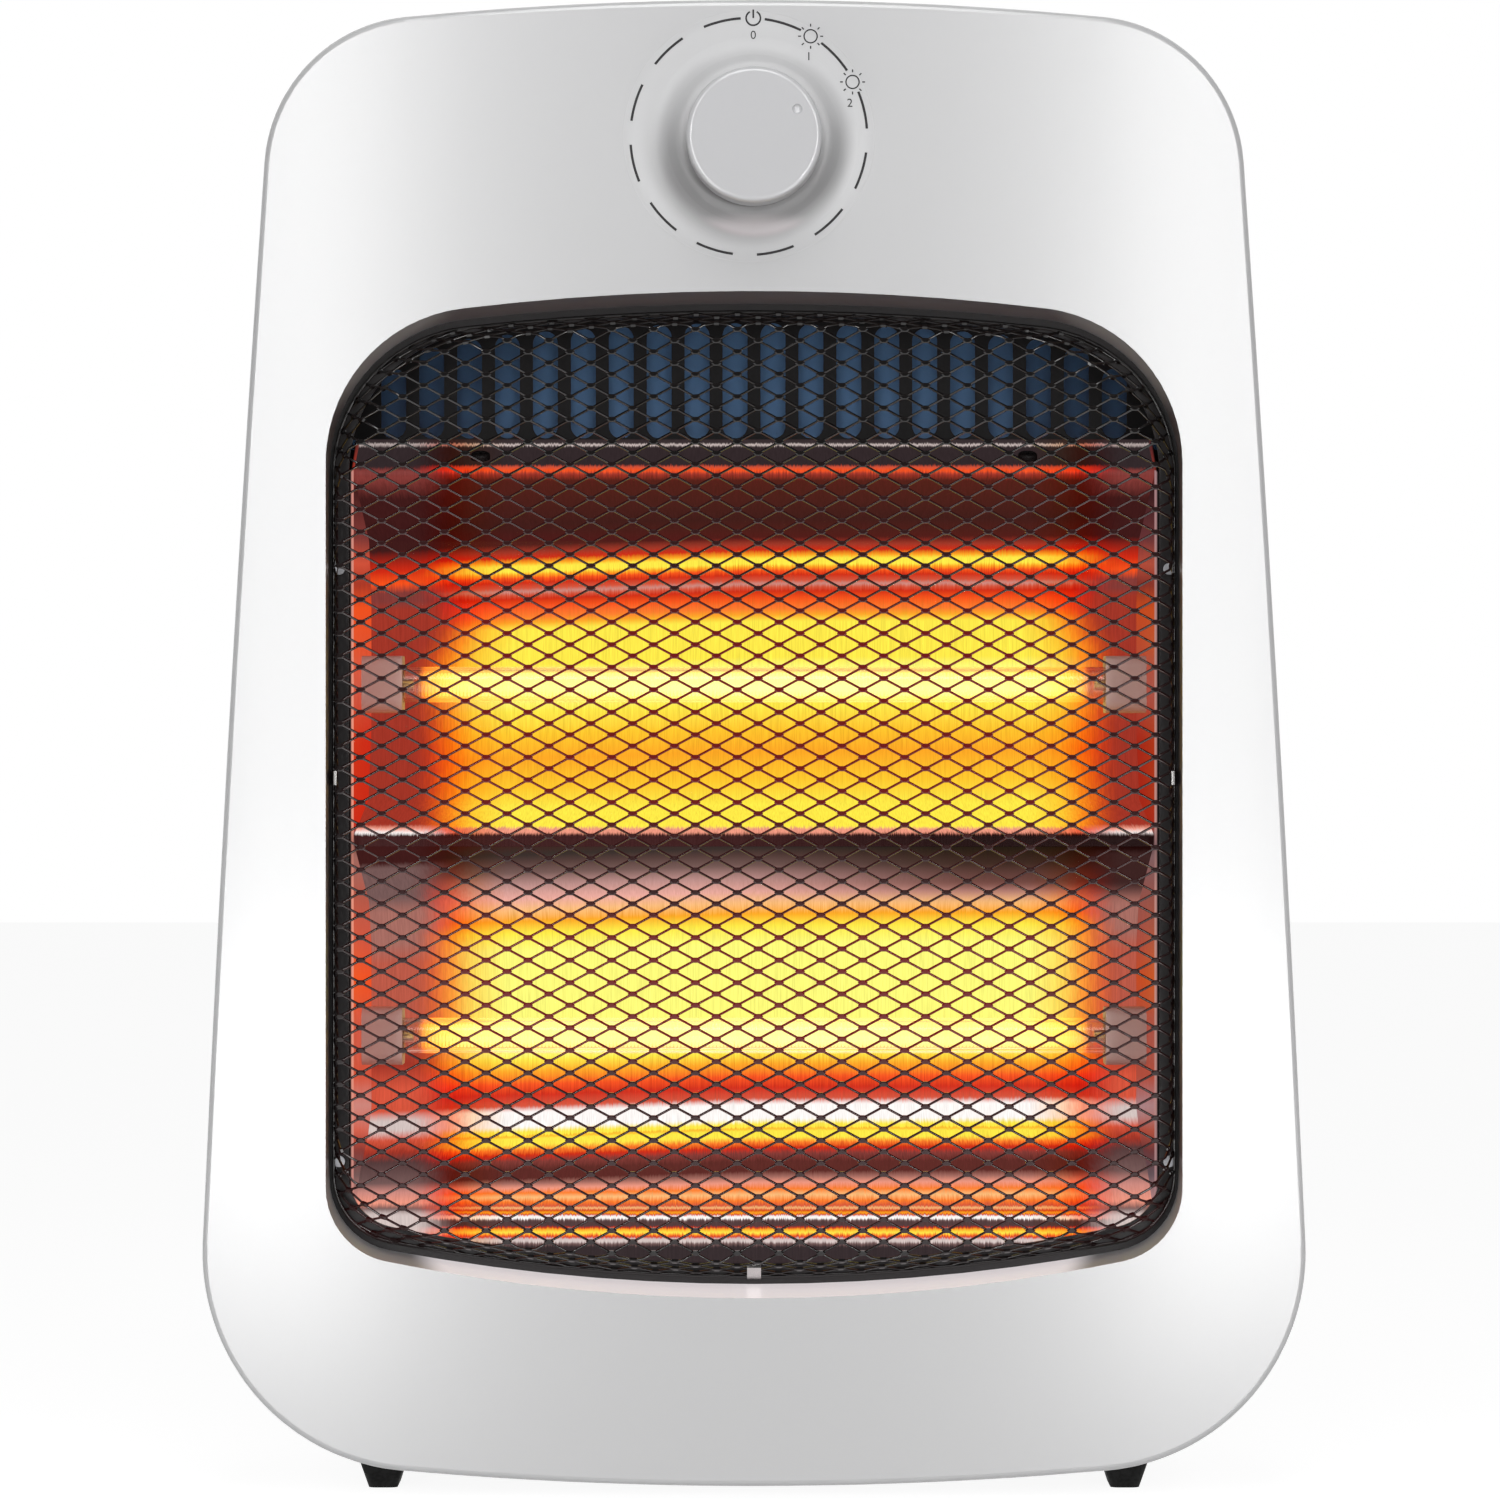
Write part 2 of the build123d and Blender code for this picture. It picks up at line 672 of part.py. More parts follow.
def boss_edges(panel, radius, play):
    """Round edges of the boss that lie about this far from its axis."""
    found = []
    for edge in panel.edges():
        centre = edge @ 0.5
        apart = math.hypot(centre.X, centre.Z - KNOB_Z)
        if abs(apart - radius) < play and edge.length > radius:
            found.append(edge)
    return found


def window_cut():
    """The window's opening, which narrows a little towards the back."""
    front = window_outline(0, LIP_DRAFT, LIP_DRAFT)
    rear = window_outline(0, 0, 0)
    sections = [front_plane(-2) * front, front_plane(LIP_BACK) * rear]
    tail = prism(rear, LIP_BACK, LIP_BACK + 2)
    return loft(sections, ruled=True) + tail


def frame_screw_places():
    """Six screws of the inner frame, close outside the window."""
    side_x = WINDOW_HALF + FRAME_BOSS_REACH
    middle = (WINDOW_TOP + WINDOW_BOTTOM) / 2
    places = [(0, WINDOW_TOP + FRAME_BOSS_REACH), (0, WINDOW_BOTTOM - FRAME_BOSS_REACH)]
    for side in SIDES.values():
        places.append((side * side_x, middle + FRAME_SCREW_SPREAD))
        places.append((side * side_x, middle - FRAME_SCREW_SPREAD))
    return places


def frame_boss(x, z):
    """Boss behind the panel for a screw of the inner frame."""
    start = crown_fall(x) + PANEL_WALL / 2
    return rod((x, y_at(start), z), (0, 1, 0), FRAME_BOSS_R, LIP_BACK - start)


def casing_post(x, z):
    """Post behind the panel for a screw of the rear casing."""
    start = crown_fall(x) + PANEL_WALL / 2
    return rod((x, y_at(start), z), (0, 1, 0), POST_R, POST_BACK - start)


def knob():
    """Round control knob with a hub, a skirt and a marker dimple."""
    face = -KNOB_REACH
    back = face + KNOB_THICKNESS
    body = rod((0, y_at(face), KNOB_Z), (0, 1, 0), KNOB_R, KNOB_THICKNESS)
    body = round_front(body, KNOB_EDGE_R)
    hollow = rod((0, y_at(face + KNOB_FACE), KNOB_Z), (0, 1, 0), KNOB_R - KNOB_SKIRT, KNOB_THICKNESS)
    hub = rod((0, y_at(face + 1), KNOB_Z), (0, 1, 0), KNOB_HUB_R, KNOB_THICKNESS - 1)
    body = (body - hollow) + hub
    body = body - shaft_bar(face + KNOB_FACE, back + 1, SEAT / 2)
    angle = math.radians(KNOB_REST_ANGLE)
    x = DIMPLE_REACH * math.sin(angle)
    z = KNOB_Z + DIMPLE_REACH * math.cos(angle)
    dimple = Pos(x, y_at(face - DIMPLE_R + DIMPLE_DEPTH), z) * Sphere(DIMPLE_R)
    return body - dimple


def shaft_bar(front, back, grow=0.0):
    """Shaft with a flat on its upper right, between two depths."""
    bar = rod((0, y_at(front), KNOB_Z), (0, 1, 0), SHAFT_R + grow, back - front)
    middle = (front + back) / 2
    cutter = Box(4 * SHAFT_R, back - front + 2, 2 * SHAFT_R, align=(Align.CENTER, Align.CENTER, Align.MIN))
    cutter = Pos(0, 0, SHAFT_FLAT + grow) * cutter
    return bar - Pos(0, y_at(middle), KNOB_Z) * Rot(0, KNOB_REST_ANGLE, 0) * cutter


def switch_shaft():
    """Steel shaft from the knob's hub into the rotor."""
    front = -KNOB_REACH + KNOB_FACE + SEAT
    return shaft_bar(front, SWITCH_FRONT + SLACK + ROTOR_T)


def switch_rotor():
    """Moulded rotor with a cam lobe, held on the shaft inside the switch."""
    front = SWITCH_FRONT + SLACK
    disc = rod((0, y_at(front), KNOB_Z), (0, 1, 0), ROTOR_DISC_R, ROTOR_T)
    angle = math.radians(KNOB_REST_ANGLE)
    lobe_x = (ROTOR_R - ROTOR_LOBE_R) * math.sin(angle)
    lobe_z = KNOB_Z + (ROTOR_R - ROTOR_LOBE_R) * math.cos(angle)
    lobe = rod((lobe_x, y_at(front), lobe_z), (0, 1, 0), ROTOR_LOBE_R, ROTOR_T)
    return (disc + lobe) - shaft_bar(front - 1, front + ROTOR_T + 1, SEAT / 2)


def switch_yoke():
    """Steel plate that the switch hangs on, with the shaft's bearing."""
    plate = RectangleRounded(YOKE_LENGTH, YOKE_HEIGHT, 2)
    plate = prism(Pos(0, KNOB_Z) * plate, YOKE_FRONT, YOKE_FRONT + YOKE_T)
    plate = plate - rod((0, y_at(YOKE_FRONT - 1), KNOB_Z), (0, 1, 0), SHAFT_R + RUNNING, YOKE_T + 2)
    for side in SIDES.values():
        x = side * SWITCH_SCREW_SPACING / 2
        hole_r = PLATE_SCREW[2] + PILOT_PLAY
        plate = plate - rod((x, y_at(YOKE_FRONT - 1), KNOB_Z), (0, 1, 0), hole_r, YOKE_T + 2)
    return plate


def switch_screw_length():
    """From the counterbore in the boss to just behind the yoke plate."""
    return YOKE_FRONT + YOKE_T - (SWITCH_SCREW_SINK - BOSS_HEIGHT) + SEAT / 2


def switch_screws():
    """Two screws under the knob."""
    return [
        screw(
            PLATE_SCREW,
            (side * SWITCH_SCREW_SPACING / 2, y_at(SWITCH_SCREW_SINK - BOSS_HEIGHT), KNOB_Z),
            (0, 1, 0),
            switch_screw_length(),
        )
        for side in SIDES.values()
    ]


def switch_body():
    """Moulded housing of the rotary switch, with slots for its terminals."""
    half = SWITCH_SIZE / 2
    shell = box(-half, half, y_at(SWITCH_FRONT), y_at(SWITCH_BACK), KNOB_Z - half, KNOB_Z + half)
    shell = fillet(shell.edges().filter_by(Axis.Y), 2)
    room = rod((0, y_at(SWITCH_FRONT - 1), KNOB_Z), (0, 1, 0), ROTOR_R + SLACK, ROTOR_T + 2 * SLACK + 1)
    shell = shell - room
    front, back = y_at(SWITCH_BACK - 5), y_at(SWITCH_BACK + 1)
    for x, z in switch_blade_places():
        half_w = BLADE_WIDTH / 2 + SEAT / 2
        half_t = BLADE_T / 2 + SEAT / 2
        shell = shell - box(x - half_w, x + half_w, front, back, z - half_t, z + half_t)
    return shell


def switch_blade_places():
    """Where the three terminals leave the switch, live first."""
    return [(0, KNOB_Z + 8), (-8, KNOB_Z - 6), (8, KNOB_Z - 6)]


def switch_terminals():
    """Three flat blades at the back of the switch."""
    blades = []
    for x, z in switch_blade_places():
        half_w = BLADE_WIDTH / 2
        half_t = BLADE_T / 2
        front = y_at(SWITCH_BACK - 5 + SEAT)
        back = y_at(SWITCH_BACK + BLADE_LENGTH)
        blades.append(box(x - half_w, x + half_w, front, back, z - half_t, z + half_t))
    return blades


def guard_front_outline(inset):
    """Outline of the guard's flat front."""
    return outline(
        WINDOW_TOP - GUARD_TOP_STEP - inset,
        WINDOW_BOTTOM + GUARD_BOTTOM_STEP + inset,
        GUARD_HALF - inset,
        GUARD_HALF - inset,
        WINDOW_TOP_SAG,
        WINDOW_BOTTOM_SAG,
        0,
        GUARD_TOP_R - inset,
        GUARD_BOTTOM_R - inset,
    )


def guard_rear_outline(inset):
    """Outline of the guard's rim, just inside the window's lip."""
    step = GUARD_REAR_STEP + inset
    return window_outline(-GUARD_SIDE_GAP - inset, -step, -step)


def diamond(x, z, half_w, half_h):
    """Closed wire round one gap of the net."""
    corners = [(x - half_w, z), (x, z - half_h), (x + half_w, z), (x, z + half_h)]
    return Wire.make_polygon(corners, close=True)


def guard_mesh():
    """Expanded-metal guard: one holed face, and a rim that slopes out and back."""
    shape = guard_front_outline(0)
    inner_shape = guard_front_outline(NET_EDGE).faces()[0]
    slope = math.hypot(NET_PITCH_X, NET_PITCH_Z)
    half_w = NET_PITCH_X / 2 - NET_STRAND * slope / (2 * NET_PITCH_Z)
    half_h = NET_PITCH_Z / 2 - NET_STRAND * slope / (2 * NET_PITCH_X)
    middle = (WINDOW_TOP + WINDOW_BOTTOM) / 2
    holes = []
    columns = int(GUARD_HALF / NET_PITCH_X) + 1
    rows = int(WINDOW_HEIGHT / NET_PITCH_Z / 2) + 1
    for column in range(-2 * columns, 2 * columns + 1):
        for row in range(-2 * rows, 2 * rows + 1):
            if (column + row) % 2 == 0:
                x = column * NET_PITCH_X / 2
                z = middle + row * NET_PITCH_Z / 2
                corners = [(x - half_w, z), (x + half_w, z), (x, z - half_h), (x, z + half_h)]
                if all(inner_shape.is_inside((px, pz, 0)) for px, pz in corners):
                    holes.append(diamond(x, z, half_w, half_h))
    print(f"guard: {len(holes)} gaps in the net")
    net = Face(shape.faces()[0].outer_wire(), holes)
    net = extrude(front_plane(GUARD_RECESS) * net, amount=GUARD_T, dir=(0, 1, 0))
    start = GUARD_RECESS + GUARD_T / 2
    end = GUARD_RECESS + GUARD_DEPTH
    fold, edge = front_plane(start), front_plane(end)
    rim = loft([fold * guard_front_outline(0), edge * guard_rear_outline(0)], ruled=True)
    hollow = loft([fold * guard_front_outline(GUARD_T), edge * guard_rear_outline(GUARD_T)], ruled=True)
    return net + (rim - hollow)


def guard_clips():
    """Three sheet clips that hold the guard's rim: below and at both sides."""
    return [bottom_clip()] + [side_clip(side) for side in SIDES.values()]


def bottom_clip():
    """Clip between the guard's rim and the lip, in the middle of the lower edge."""
    start = GUARD_RECESS + CLIP_STEP
    end = GUARD_RECESS + GUARD_DEPTH
    slope = (GUARD_BOTTOM_STEP - GUARD_REAR_STEP) / (GUARD_DEPTH - GUARD_T / 2)
    near = WINDOW_BOTTOM + GUARD_REAR_STEP + (end - start) * slope - 2 * SEAT
    far = WINDOW_BOTTOM + GUARD_REAR_STEP - 2 * SEAT
    run = math.hypot(end - start, near - far)
    lift = CLIP_T * (end - start) / run
    push = CLIP_T * (near - far) / run
    corners = [(end, far), (start, near), (start - push, near - lift), (end - push, far - lift)]
    face = make_face(Polyline(*[(y_at(depth), z) for depth, z in corners], close=True))
    return extrude(Plane.YZ * face, amount=CLIP_WIDTH / 2, both=True)


def side_clip(side):
    """Clip between the guard's rim and the lip at one side."""
    start = GUARD_RECESS + CLIP_STEP
    end = GUARD_RECESS + GUARD_DEPTH
    slope = (WINDOW_HALF - GUARD_SIDE_GAP - GUARD_HALF) / (GUARD_DEPTH - GUARD_T / 2)
    far = WINDOW_HALF - GUARD_SIDE_GAP + 2 * SEAT
    near = far - (end - start) * slope
    thickness = GUARD_SIDE_GAP - 3 * SEAT
    corners = [(near, start), (far, end), (far + thickness, end), (near + thickness, start)]
    face = make_face(Polyline(*[(side * x, y_at(depth)) for x, depth in corners], close=True))
    strip = extrude(face, amount=CLIP_WIDTH, dir=(0, 0, 1))
    return Pos(0, 0, SIDE_CLIP_Z - CLIP_WIDTH / 2) * strip


def inner_frame():
    """Black ring plate behind the window's lip."""
    outer = window_outline(FRAME_MARGIN, FRAME_MARGIN, FRAME_MARGIN)
    opening = outline(
        WINDOW_TOP - FRAME_TOP_STEP,
        WINDOW_BOTTOM + FRAME_BOTTOM_STEP,
        OPENING_HALF,
        OPENING_HALF,
        WINDOW_TOP_SAG,
        WINDOW_BOTTOM_SAG,
        0,
        WINDOW_TOP_R - FRAME_TOP_STEP,
        WINDOW_BOTTOM_R - FRAME_BOTTOM_STEP,
    )
    plate = prism(outer - opening, FRAME_FRONT, FRAME_BACK)
    front = y_at(FRAME_FRONT - 1)
    free = PLATE_SCREW[2] + SLACK
    holes = [rod((x, front, z), (0, 1, 0), free, FRAME_T + 2) for x, z in frame_screw_places()]
    tight = PLATE_SCREW[2] + PILOT_PLAY
    places = side_screw_places() + baffle_screw_places()
    holes += [rod((x, front, z), (0, 1, 0), tight, FRAME_T + 2) for x, z in places]
    return plate - holes


def frame_screws():
    """Six screws that hold the inner frame to the panel."""
    y = y_at(FRAME_BACK + SEAT / 2)
    return [screw(SMALL_SCREW, (x, y, z), (0, -1, 0), FRAME_SCREW_LENGTH) for x, z in frame_screw_places()]


def side_screw_places():
    """Four screws that hold the side plates to the inner frame."""
    x = SIDE_OUTER + FLANGE / 2
    low = SIDE_BOTTOM + SIDE_SCREW_INSET
    high = LEDGE_Z - SIDE_SCREW_INSET
    return [(side * x, z) for side in SIDES.values() for z in (low, high)]


def side_plate(side):
    """Side of the reflector: a plate with a flange at its front and back."""
    inner = side * SIDE_INNER
    outer = side * SIDE_OUTER
    corners = [
        (SIDE_FRONT, SIDE_BOTTOM),
        (SIDE_FRONT, LEDGE_Z),
        (TROUGH_FRONT, LEDGE_Z + SLACK),
        (CREASE_DEPTH, SIDE_TOP),
        (SIDE_BACK, SIDE_TOP),
        (SIDE_BACK, SIDE_BOTTOM + SILL_MID_RISE),
        (CREASE_DEPTH, SIDE_BOTTOM),
    ]
    face = make_face(Polyline(*[(y_at(y), z) for y, z in corners], close=True))
    plate = extrude(Plane.YZ.offset(inner) * face, amount=side * SIDE_T)
    tip = side * (SIDE_OUTER + FLANGE)
    x0, x1 = sorted((outer - side * SIDE_T / 2, tip))
    low = SIDE_BOTTOM + SILL_MID_RISE
    front = box(x0, x1, y_at(SIDE_FRONT), y_at(SIDE_FRONT + SIDE_T), low, LEDGE_Z - 2)
    back = box(x0, x1, y_at(SIDE_BACK - SIDE_T), y_at(SIDE_BACK), low, SIDE_TOP)
    plate = plate + front + back
    for name in TUBE_Z:
        hole = rod((inner - side, y_at(TUBE_Y), TUBE_Z[name]), (side, 0, 0), CAP_NECK_R + SEAT, SIDE_T + 2)
        plate = plate - hole
    hole_r = PLATE_SCREW[2] + PILOT_PLAY
    for x, z in side_screw_places():
        plate = plate - rod((x, y_at(SIDE_FRONT - 1), z), (0, 1, 0), hole_r, SIDE_T + 2)
    for x, z in shield_screw_places():
        plate = plate - rod((x, y_at(SIDE_BACK - SIDE_T - 1), z), (0, 1, 0), hole_r, SIDE_T + 2)
    return plate


def side_screws():
    """Four screws through the front flanges into the inner frame."""
    at = SIDE_FRONT + SIDE_T + SEAT / 2
    length = at - FRAME_FRONT - SEAT
    return [screw(PLATE_SCREW, (x, y_at(at), z), (0, -1, 0), length) for x, z in side_screw_places()]


def upper_reflector():
    """Upper sheet: ledge under the vents, ceiling, back and floor of the upper trough."""
    points = [
        (CREASE_DEPTH, CREASE_Z + UPTURN),
        (CREASE_DEPTH, CREASE_Z),
        (NOSE_DEPTH, NOSE_Z),
        (TROUGH_FRONT + TOP_FACET_DEPTH, LEDGE_Z - TOP_FACET_DROP),
        (TROUGH_BACK, LEDGE_Z - TOP_BACK_DROP),
        (TROUGH_BACK, RIDGE_Z + FLOOR_BACK_RISE),
        (TROUGH_FRONT + KNEE_DEPTH, RIDGE_Z + FLOOR_KNEE_RISE),
        (RIDGE_DEPTH, RIDGE_Z),
        (RIDGE_DEPTH, RIDGE_Z - RIDGE_LIP),
    ]
    radii = [BEND_R] + [NOSE_R] + [BEND_R] * (len(points) - 4)
    sheet = folded_strip(points, SHEET, REFLECTOR_HALF, bend=radii)
    return sheet - [ledge_hole(side) for side in SIDES.values()]


def lower_reflector():
    """Lower sheet: ceiling, back and floor of the lower trough, and the front sill."""
    start = RIDGE_DEPTH + SHEET + SEAT
    points = [
        (start, RIDGE_Z - SHEET - RIDGE_TUCK),
        (start, RIDGE_Z - RIDGE_LIP),
        (TROUGH_FRONT + TOP_FACET_DEPTH, RIDGE_Z - CEILING_DROP),
        (TROUGH_BACK, RIDGE_Z - CEILING_BACK_DROP),
        (TROUGH_BACK, LOWER_LIP_Z + SILL_BACK_RISE),
        (TROUGH_FRONT + TOP_FACET_DEPTH - KNEE_STEP, LOWER_LIP_Z + SILL_KNEE_RISE),
        (TROUGH_FRONT + SILL_MID_DEPTH, LOWER_LIP_Z + SILL_MID_RISE),
        (RIDGE_DEPTH, LOWER_LIP_Z),
        (RIDGE_DEPTH, LOWER_LIP_Z - SILL_DROP),
        (SIDE_FRONT, WINDOW_BOTTOM + FRAME_BOTTOM_STEP + SLACK),
        (SIDE_FRONT, WINDOW_BOTTOM),
    ]
    return folded_strip(points, SHEET, REFLECTOR_HALF, bend=0.8)


def ledge_direction():
    """Unit normal of the ledge, pointing down and back."""
    run = math.hypot(LEDGE_RUN, LEDGE_CLIMB)
    return (0, LEDGE_CLIMB / run, -LEDGE_RUN / run)


def ledge_point(side, depth_below):
    """Point of a ledge screw's axis, this far below the ledge's surface."""
    forward = LEDGE_DEPTH - LEDGE_SCREW_DEPTH
    normal = ledge_direction()
    y = y_at(CREASE_DEPTH - forward) + normal[1] * depth_below
    z = CREASE_Z - forward * LEDGE_CLIMB / LEDGE_RUN + normal[2] * depth_below
    return (side * LEDGE_SCREW_SPREAD, y, z)


def ledge_hole(side):
    """Clear hole for a ledge screw."""
    return rod(ledge_point(side, -1), ledge_direction(), PLATE_SCREW[2] + PILOT_PLAY, SHEET + BAFFLE_T + 2)


def ledge_screws():
    """Two short screws that hold the ledge to the baffle's lower flange."""
    length = SHEET + BAFFLE_T + SEAT + SLACK
    ways = SIDES.values()
    return [screw(PLATE_SCREW, ledge_point(side, -SEAT / 2), ledge_direction(), length) for side in ways]


def baffle_screw_places():
    """Two screws that hold the baffle's ears to the inner frame."""
    x = BAFFLE_HALF + BAFFLE_EAR / 2
    z = CREASE_Z + BAFFLE_EAR_HEIGHT / 2
    return [(side * x, z) for side in SIDES.values()]


def slot(x):
    """One vent slot, whose top follows the window's upper edge."""
    top = window_top_at(x) - SLOT_TOP_GAP
    bottom = CREASE_Z + UPTURN + SLACK
    shape = RectangleRounded(SLOT_WIDTH, top - bottom, SLOT_WIDTH / 2 - 0.01)
    return prism(Pos(x, (top + bottom) / 2) * shape, BAFFLE_FRONT - 1, BAFFLE_FRONT + BAFFLE_T + 1)


def vent_baffle():
    """Black plate with a row of upright slots, ears at its sides and a flange under the ledge."""
    edge = outline(
        WINDOW_TOP + BAFFLE_RIM,
        CREASE_Z + UPTURN + SEAT,
        BAFFLE_HALF,
        BAFFLE_HALF,
        WINDOW_TOP_SAG,
        SEAT,
        0,
        BAFFLE_CORNER_R,
        SEAT,
    )
    wall = prism(edge, BAFFLE_FRONT, BAFFLE_FRONT + BAFFLE_T)
    drop = (SHEET + SEAT) * math.hypot(LEDGE_RUN, LEDGE_CLIMB) / LEDGE_RUN
    reach = LEDGE_FLANGE
    skirt_z = CREASE_Z - drop + (BAFFLE_FRONT - CREASE_DEPTH) * LEDGE_CLIMB / LEDGE_RUN
    flange = [
        (BAFFLE_FRONT, CREASE_Z + UPTURN + SEAT * 2),
        (BAFFLE_FRONT, skirt_z),
        (BAFFLE_FRONT - reach, skirt_z - reach * LEDGE_CLIMB / LEDGE_RUN),
    ]
    skirt = folded_strip(flange, BAFFLE_T, REFLECTOR_HALF, bend=0.5)
    baffle = wall + skirt
    low = CREASE_Z + 2 * UPTURN
    high = CREASE_Z + BAFFLE_EAR_HEIGHT
    for side in SIDES.values():
        x0, x1 = sorted((side * (BAFFLE_HALF - BAFFLE_T), side * BAFFLE_HALF))
        web = box(x0, x1, y_at(SIDE_FRONT), y_at(BAFFLE_FRONT + BAFFLE_T), low, high)
        x0, x1 = sorted((side * (BAFFLE_HALF - BAFFLE_T), side * (BAFFLE_HALF + BAFFLE_EAR)))
        ear = box(x0, x1, y_at(SIDE_FRONT), y_at(SIDE_FRONT + BAFFLE_T), low, high)
        baffle = baffle + web + ear
    pairs = int((OPENING_HALF - SLOT_EDGE) / SLOT_PITCH)
    xs = [side * (k + 0.5) * SLOT_PITCH for side in SIDES.values() for k in range(pairs)]
    baffle = baffle - [slot(x) for x in xs]
    hole_r = PLATE_SCREW[2] + PILOT_PLAY
    for x, z in baffle_screw_places():
        baffle = baffle - rod((x, y_at(SIDE_FRONT - 1), z), (0, 1, 0), hole_r, BAFFLE_T + 2)
    return baffle - [ledge_hole(side) for side in SIDES.values()]


def baffle_screws():
    """Two screws through the baffle's ears into the inner frame."""
    at = SIDE_FRONT + BAFFLE_T + SEAT / 2
    length = at - FRAME_FRONT - SEAT
    return [screw(PLATE_SCREW, (x, y_at(at), z), (0, -1, 0), length) for x, z in baffle_screw_places()]


def shield_screw_places():
    """Four screws of the heat shield, in the side plates' rear flanges."""
    x = SIDE_OUTER + FLANGE / 2
    low = SIDE_BOTTOM + SILL_MID_RISE + SIDE_SCREW_INSET / 2
    high = SIDE_TOP - SIDE_SCREW_INSET / 2
    return [(side * x, z) for side in SIDES.values() for z in (low, high)]


def heat_shield():
    """Flat zinc-coated sheet behind the reflector and the vents."""
    bottom = SIDE_BOTTOM + SILL_MID_RISE
    shape = Pos(0, (SHIELD_TOP + bottom) / 2) * RectangleRounded(2 * SHIELD_HALF, SHIELD_TOP - bottom, 6)
    plate = prism(shape, SHIELD_FRONT, SHIELD_BACK)
    hole_r = PLATE_SCREW[2] + PILOT_PLAY
    front = y_at(SHIELD_FRONT - 1)
    return plate - [rod((x, front, z), (0, 1, 0), hole_r, SHIELD_T + 2) for x, z in shield_screw_places()]


def shield_screws():
    """Four screws that hold the heat shield."""
    length = SHIELD_T + SEAT + SIDE_T + 1.5
    return [
        screw(PLATE_SCREW, (x, y_at(SHIELD_BACK + SEAT / 2), z), (0, -1, 0), length)
        for x, z in shield_screw_places()
    ]


def quartz_tube(level):
    """Clear quartz tube, open at both ends inside its caps."""
    start = (-TUBE_HALF, y_at(TUBE_Y), TUBE_Z[level])
    bore = rod(start, (1, 0, 0), TUBE_R - TUBE_WALL, 2 * TUBE_HALF)
    return rod(start, (1, 0, 0), TUBE_R, 2 * TUBE_HALF) - bore


def heating_coil(level):
    """Resistance wire wound along the tube, from pin to pin."""
    length = 2 * (PIN_INNER - SEAT - COIL_LEAD)
    start = (-length / 2, y_at(TUBE_Y), TUBE_Z[level])
    return wound_wire(start, (1, 0, 0), (0, 0, 1), COIL_R, COIL_WIRE_R, length, COIL_TURNS, COIL_LEAD)


def end_cap(level, side):
    """Ceramic block on a tube's end, with a neck through the side plate."""
    y, z = y_at(TUBE_Y), TUBE_Z[level]
    seat = Plane(origin=(side * CAP_INNER, y, z), z_dir=(side, 0, 0))
    block = extrude(seat * RectangleRounded(CAP_SIZE, CAP_SIZE, CAP_ROUND), amount=CAP_LENGTH)
    root = CAP_INNER + CAP_LENGTH / 2
    cap = block + rod((side * root, y, z), (side, 0, 0), CAP_NECK_R, CAP_OUTER - root)
    cap = cap - rod((side * (CAP_INNER - 1), y, z), (side, 0, 0), TUBE_R + PILOT_PLAY, CAP_BORE + SEAT + 1)
    return cap - rod((side * CAP_INNER, y, z), (side, 0, 0), PIN_R + PILOT_PLAY, CAP_OUTER - CAP_INNER + 1)


def cap_rings():
    """Four spring rings that hold the caps' necks outside the side plates."""
    rings = []
    for level in TUBE_Z:
        for side in SIDES.values():
            start = (side * (SIDE_OUTER + SEAT), y_at(TUBE_Y), TUBE_Z[level])
            hole = rod(start, (side, 0, 0), CAP_NECK_R + SEAT / 2, CLIP_T)
            rings.append(rod(start, (side, 0, 0), CLIP_RING_R, CLIP_T) - hole)
    return rings


def tube_terminals(level):
    """Pins at both ends of a tube, each with a flat blade that points back."""
    y, z = y_at(TUBE_Y), TUBE_Z[level]
    terminals = []
    for side in SIDES.values():
        pin = rod((side * PIN_INNER, y, z), (side, 0, 0), PIN_R, PIN_OUTER - PIN_INNER)
        x0, x1 = sorted((side * (PIN_OUTER - BLADE_T), side * PIN_OUTER))
        half_b = BLADE_WIDTH / 2
        blade = box(x0, x1, y - half_b, y + PIN_REACH + half_b, z - half_b, z + half_b)
        terminals.append(pin + blade)
    return terminals


def casing_blank(inset, front, back, edge_r):
    """Solid casing: a straight spigot, and a tail that narrows to the back."""
    shape = panel_outline(CASING_INSET + inset)
    spigot = prism(shape, front, SPIGOT_BACK)
    end_shape = casing_end_outline(inset)
    tail = loft([front_plane(SPIGOT_BACK) * shape, front_plane(back) * end_shape], ruled=True)
    return spigot + round_back(tail, edge_r)


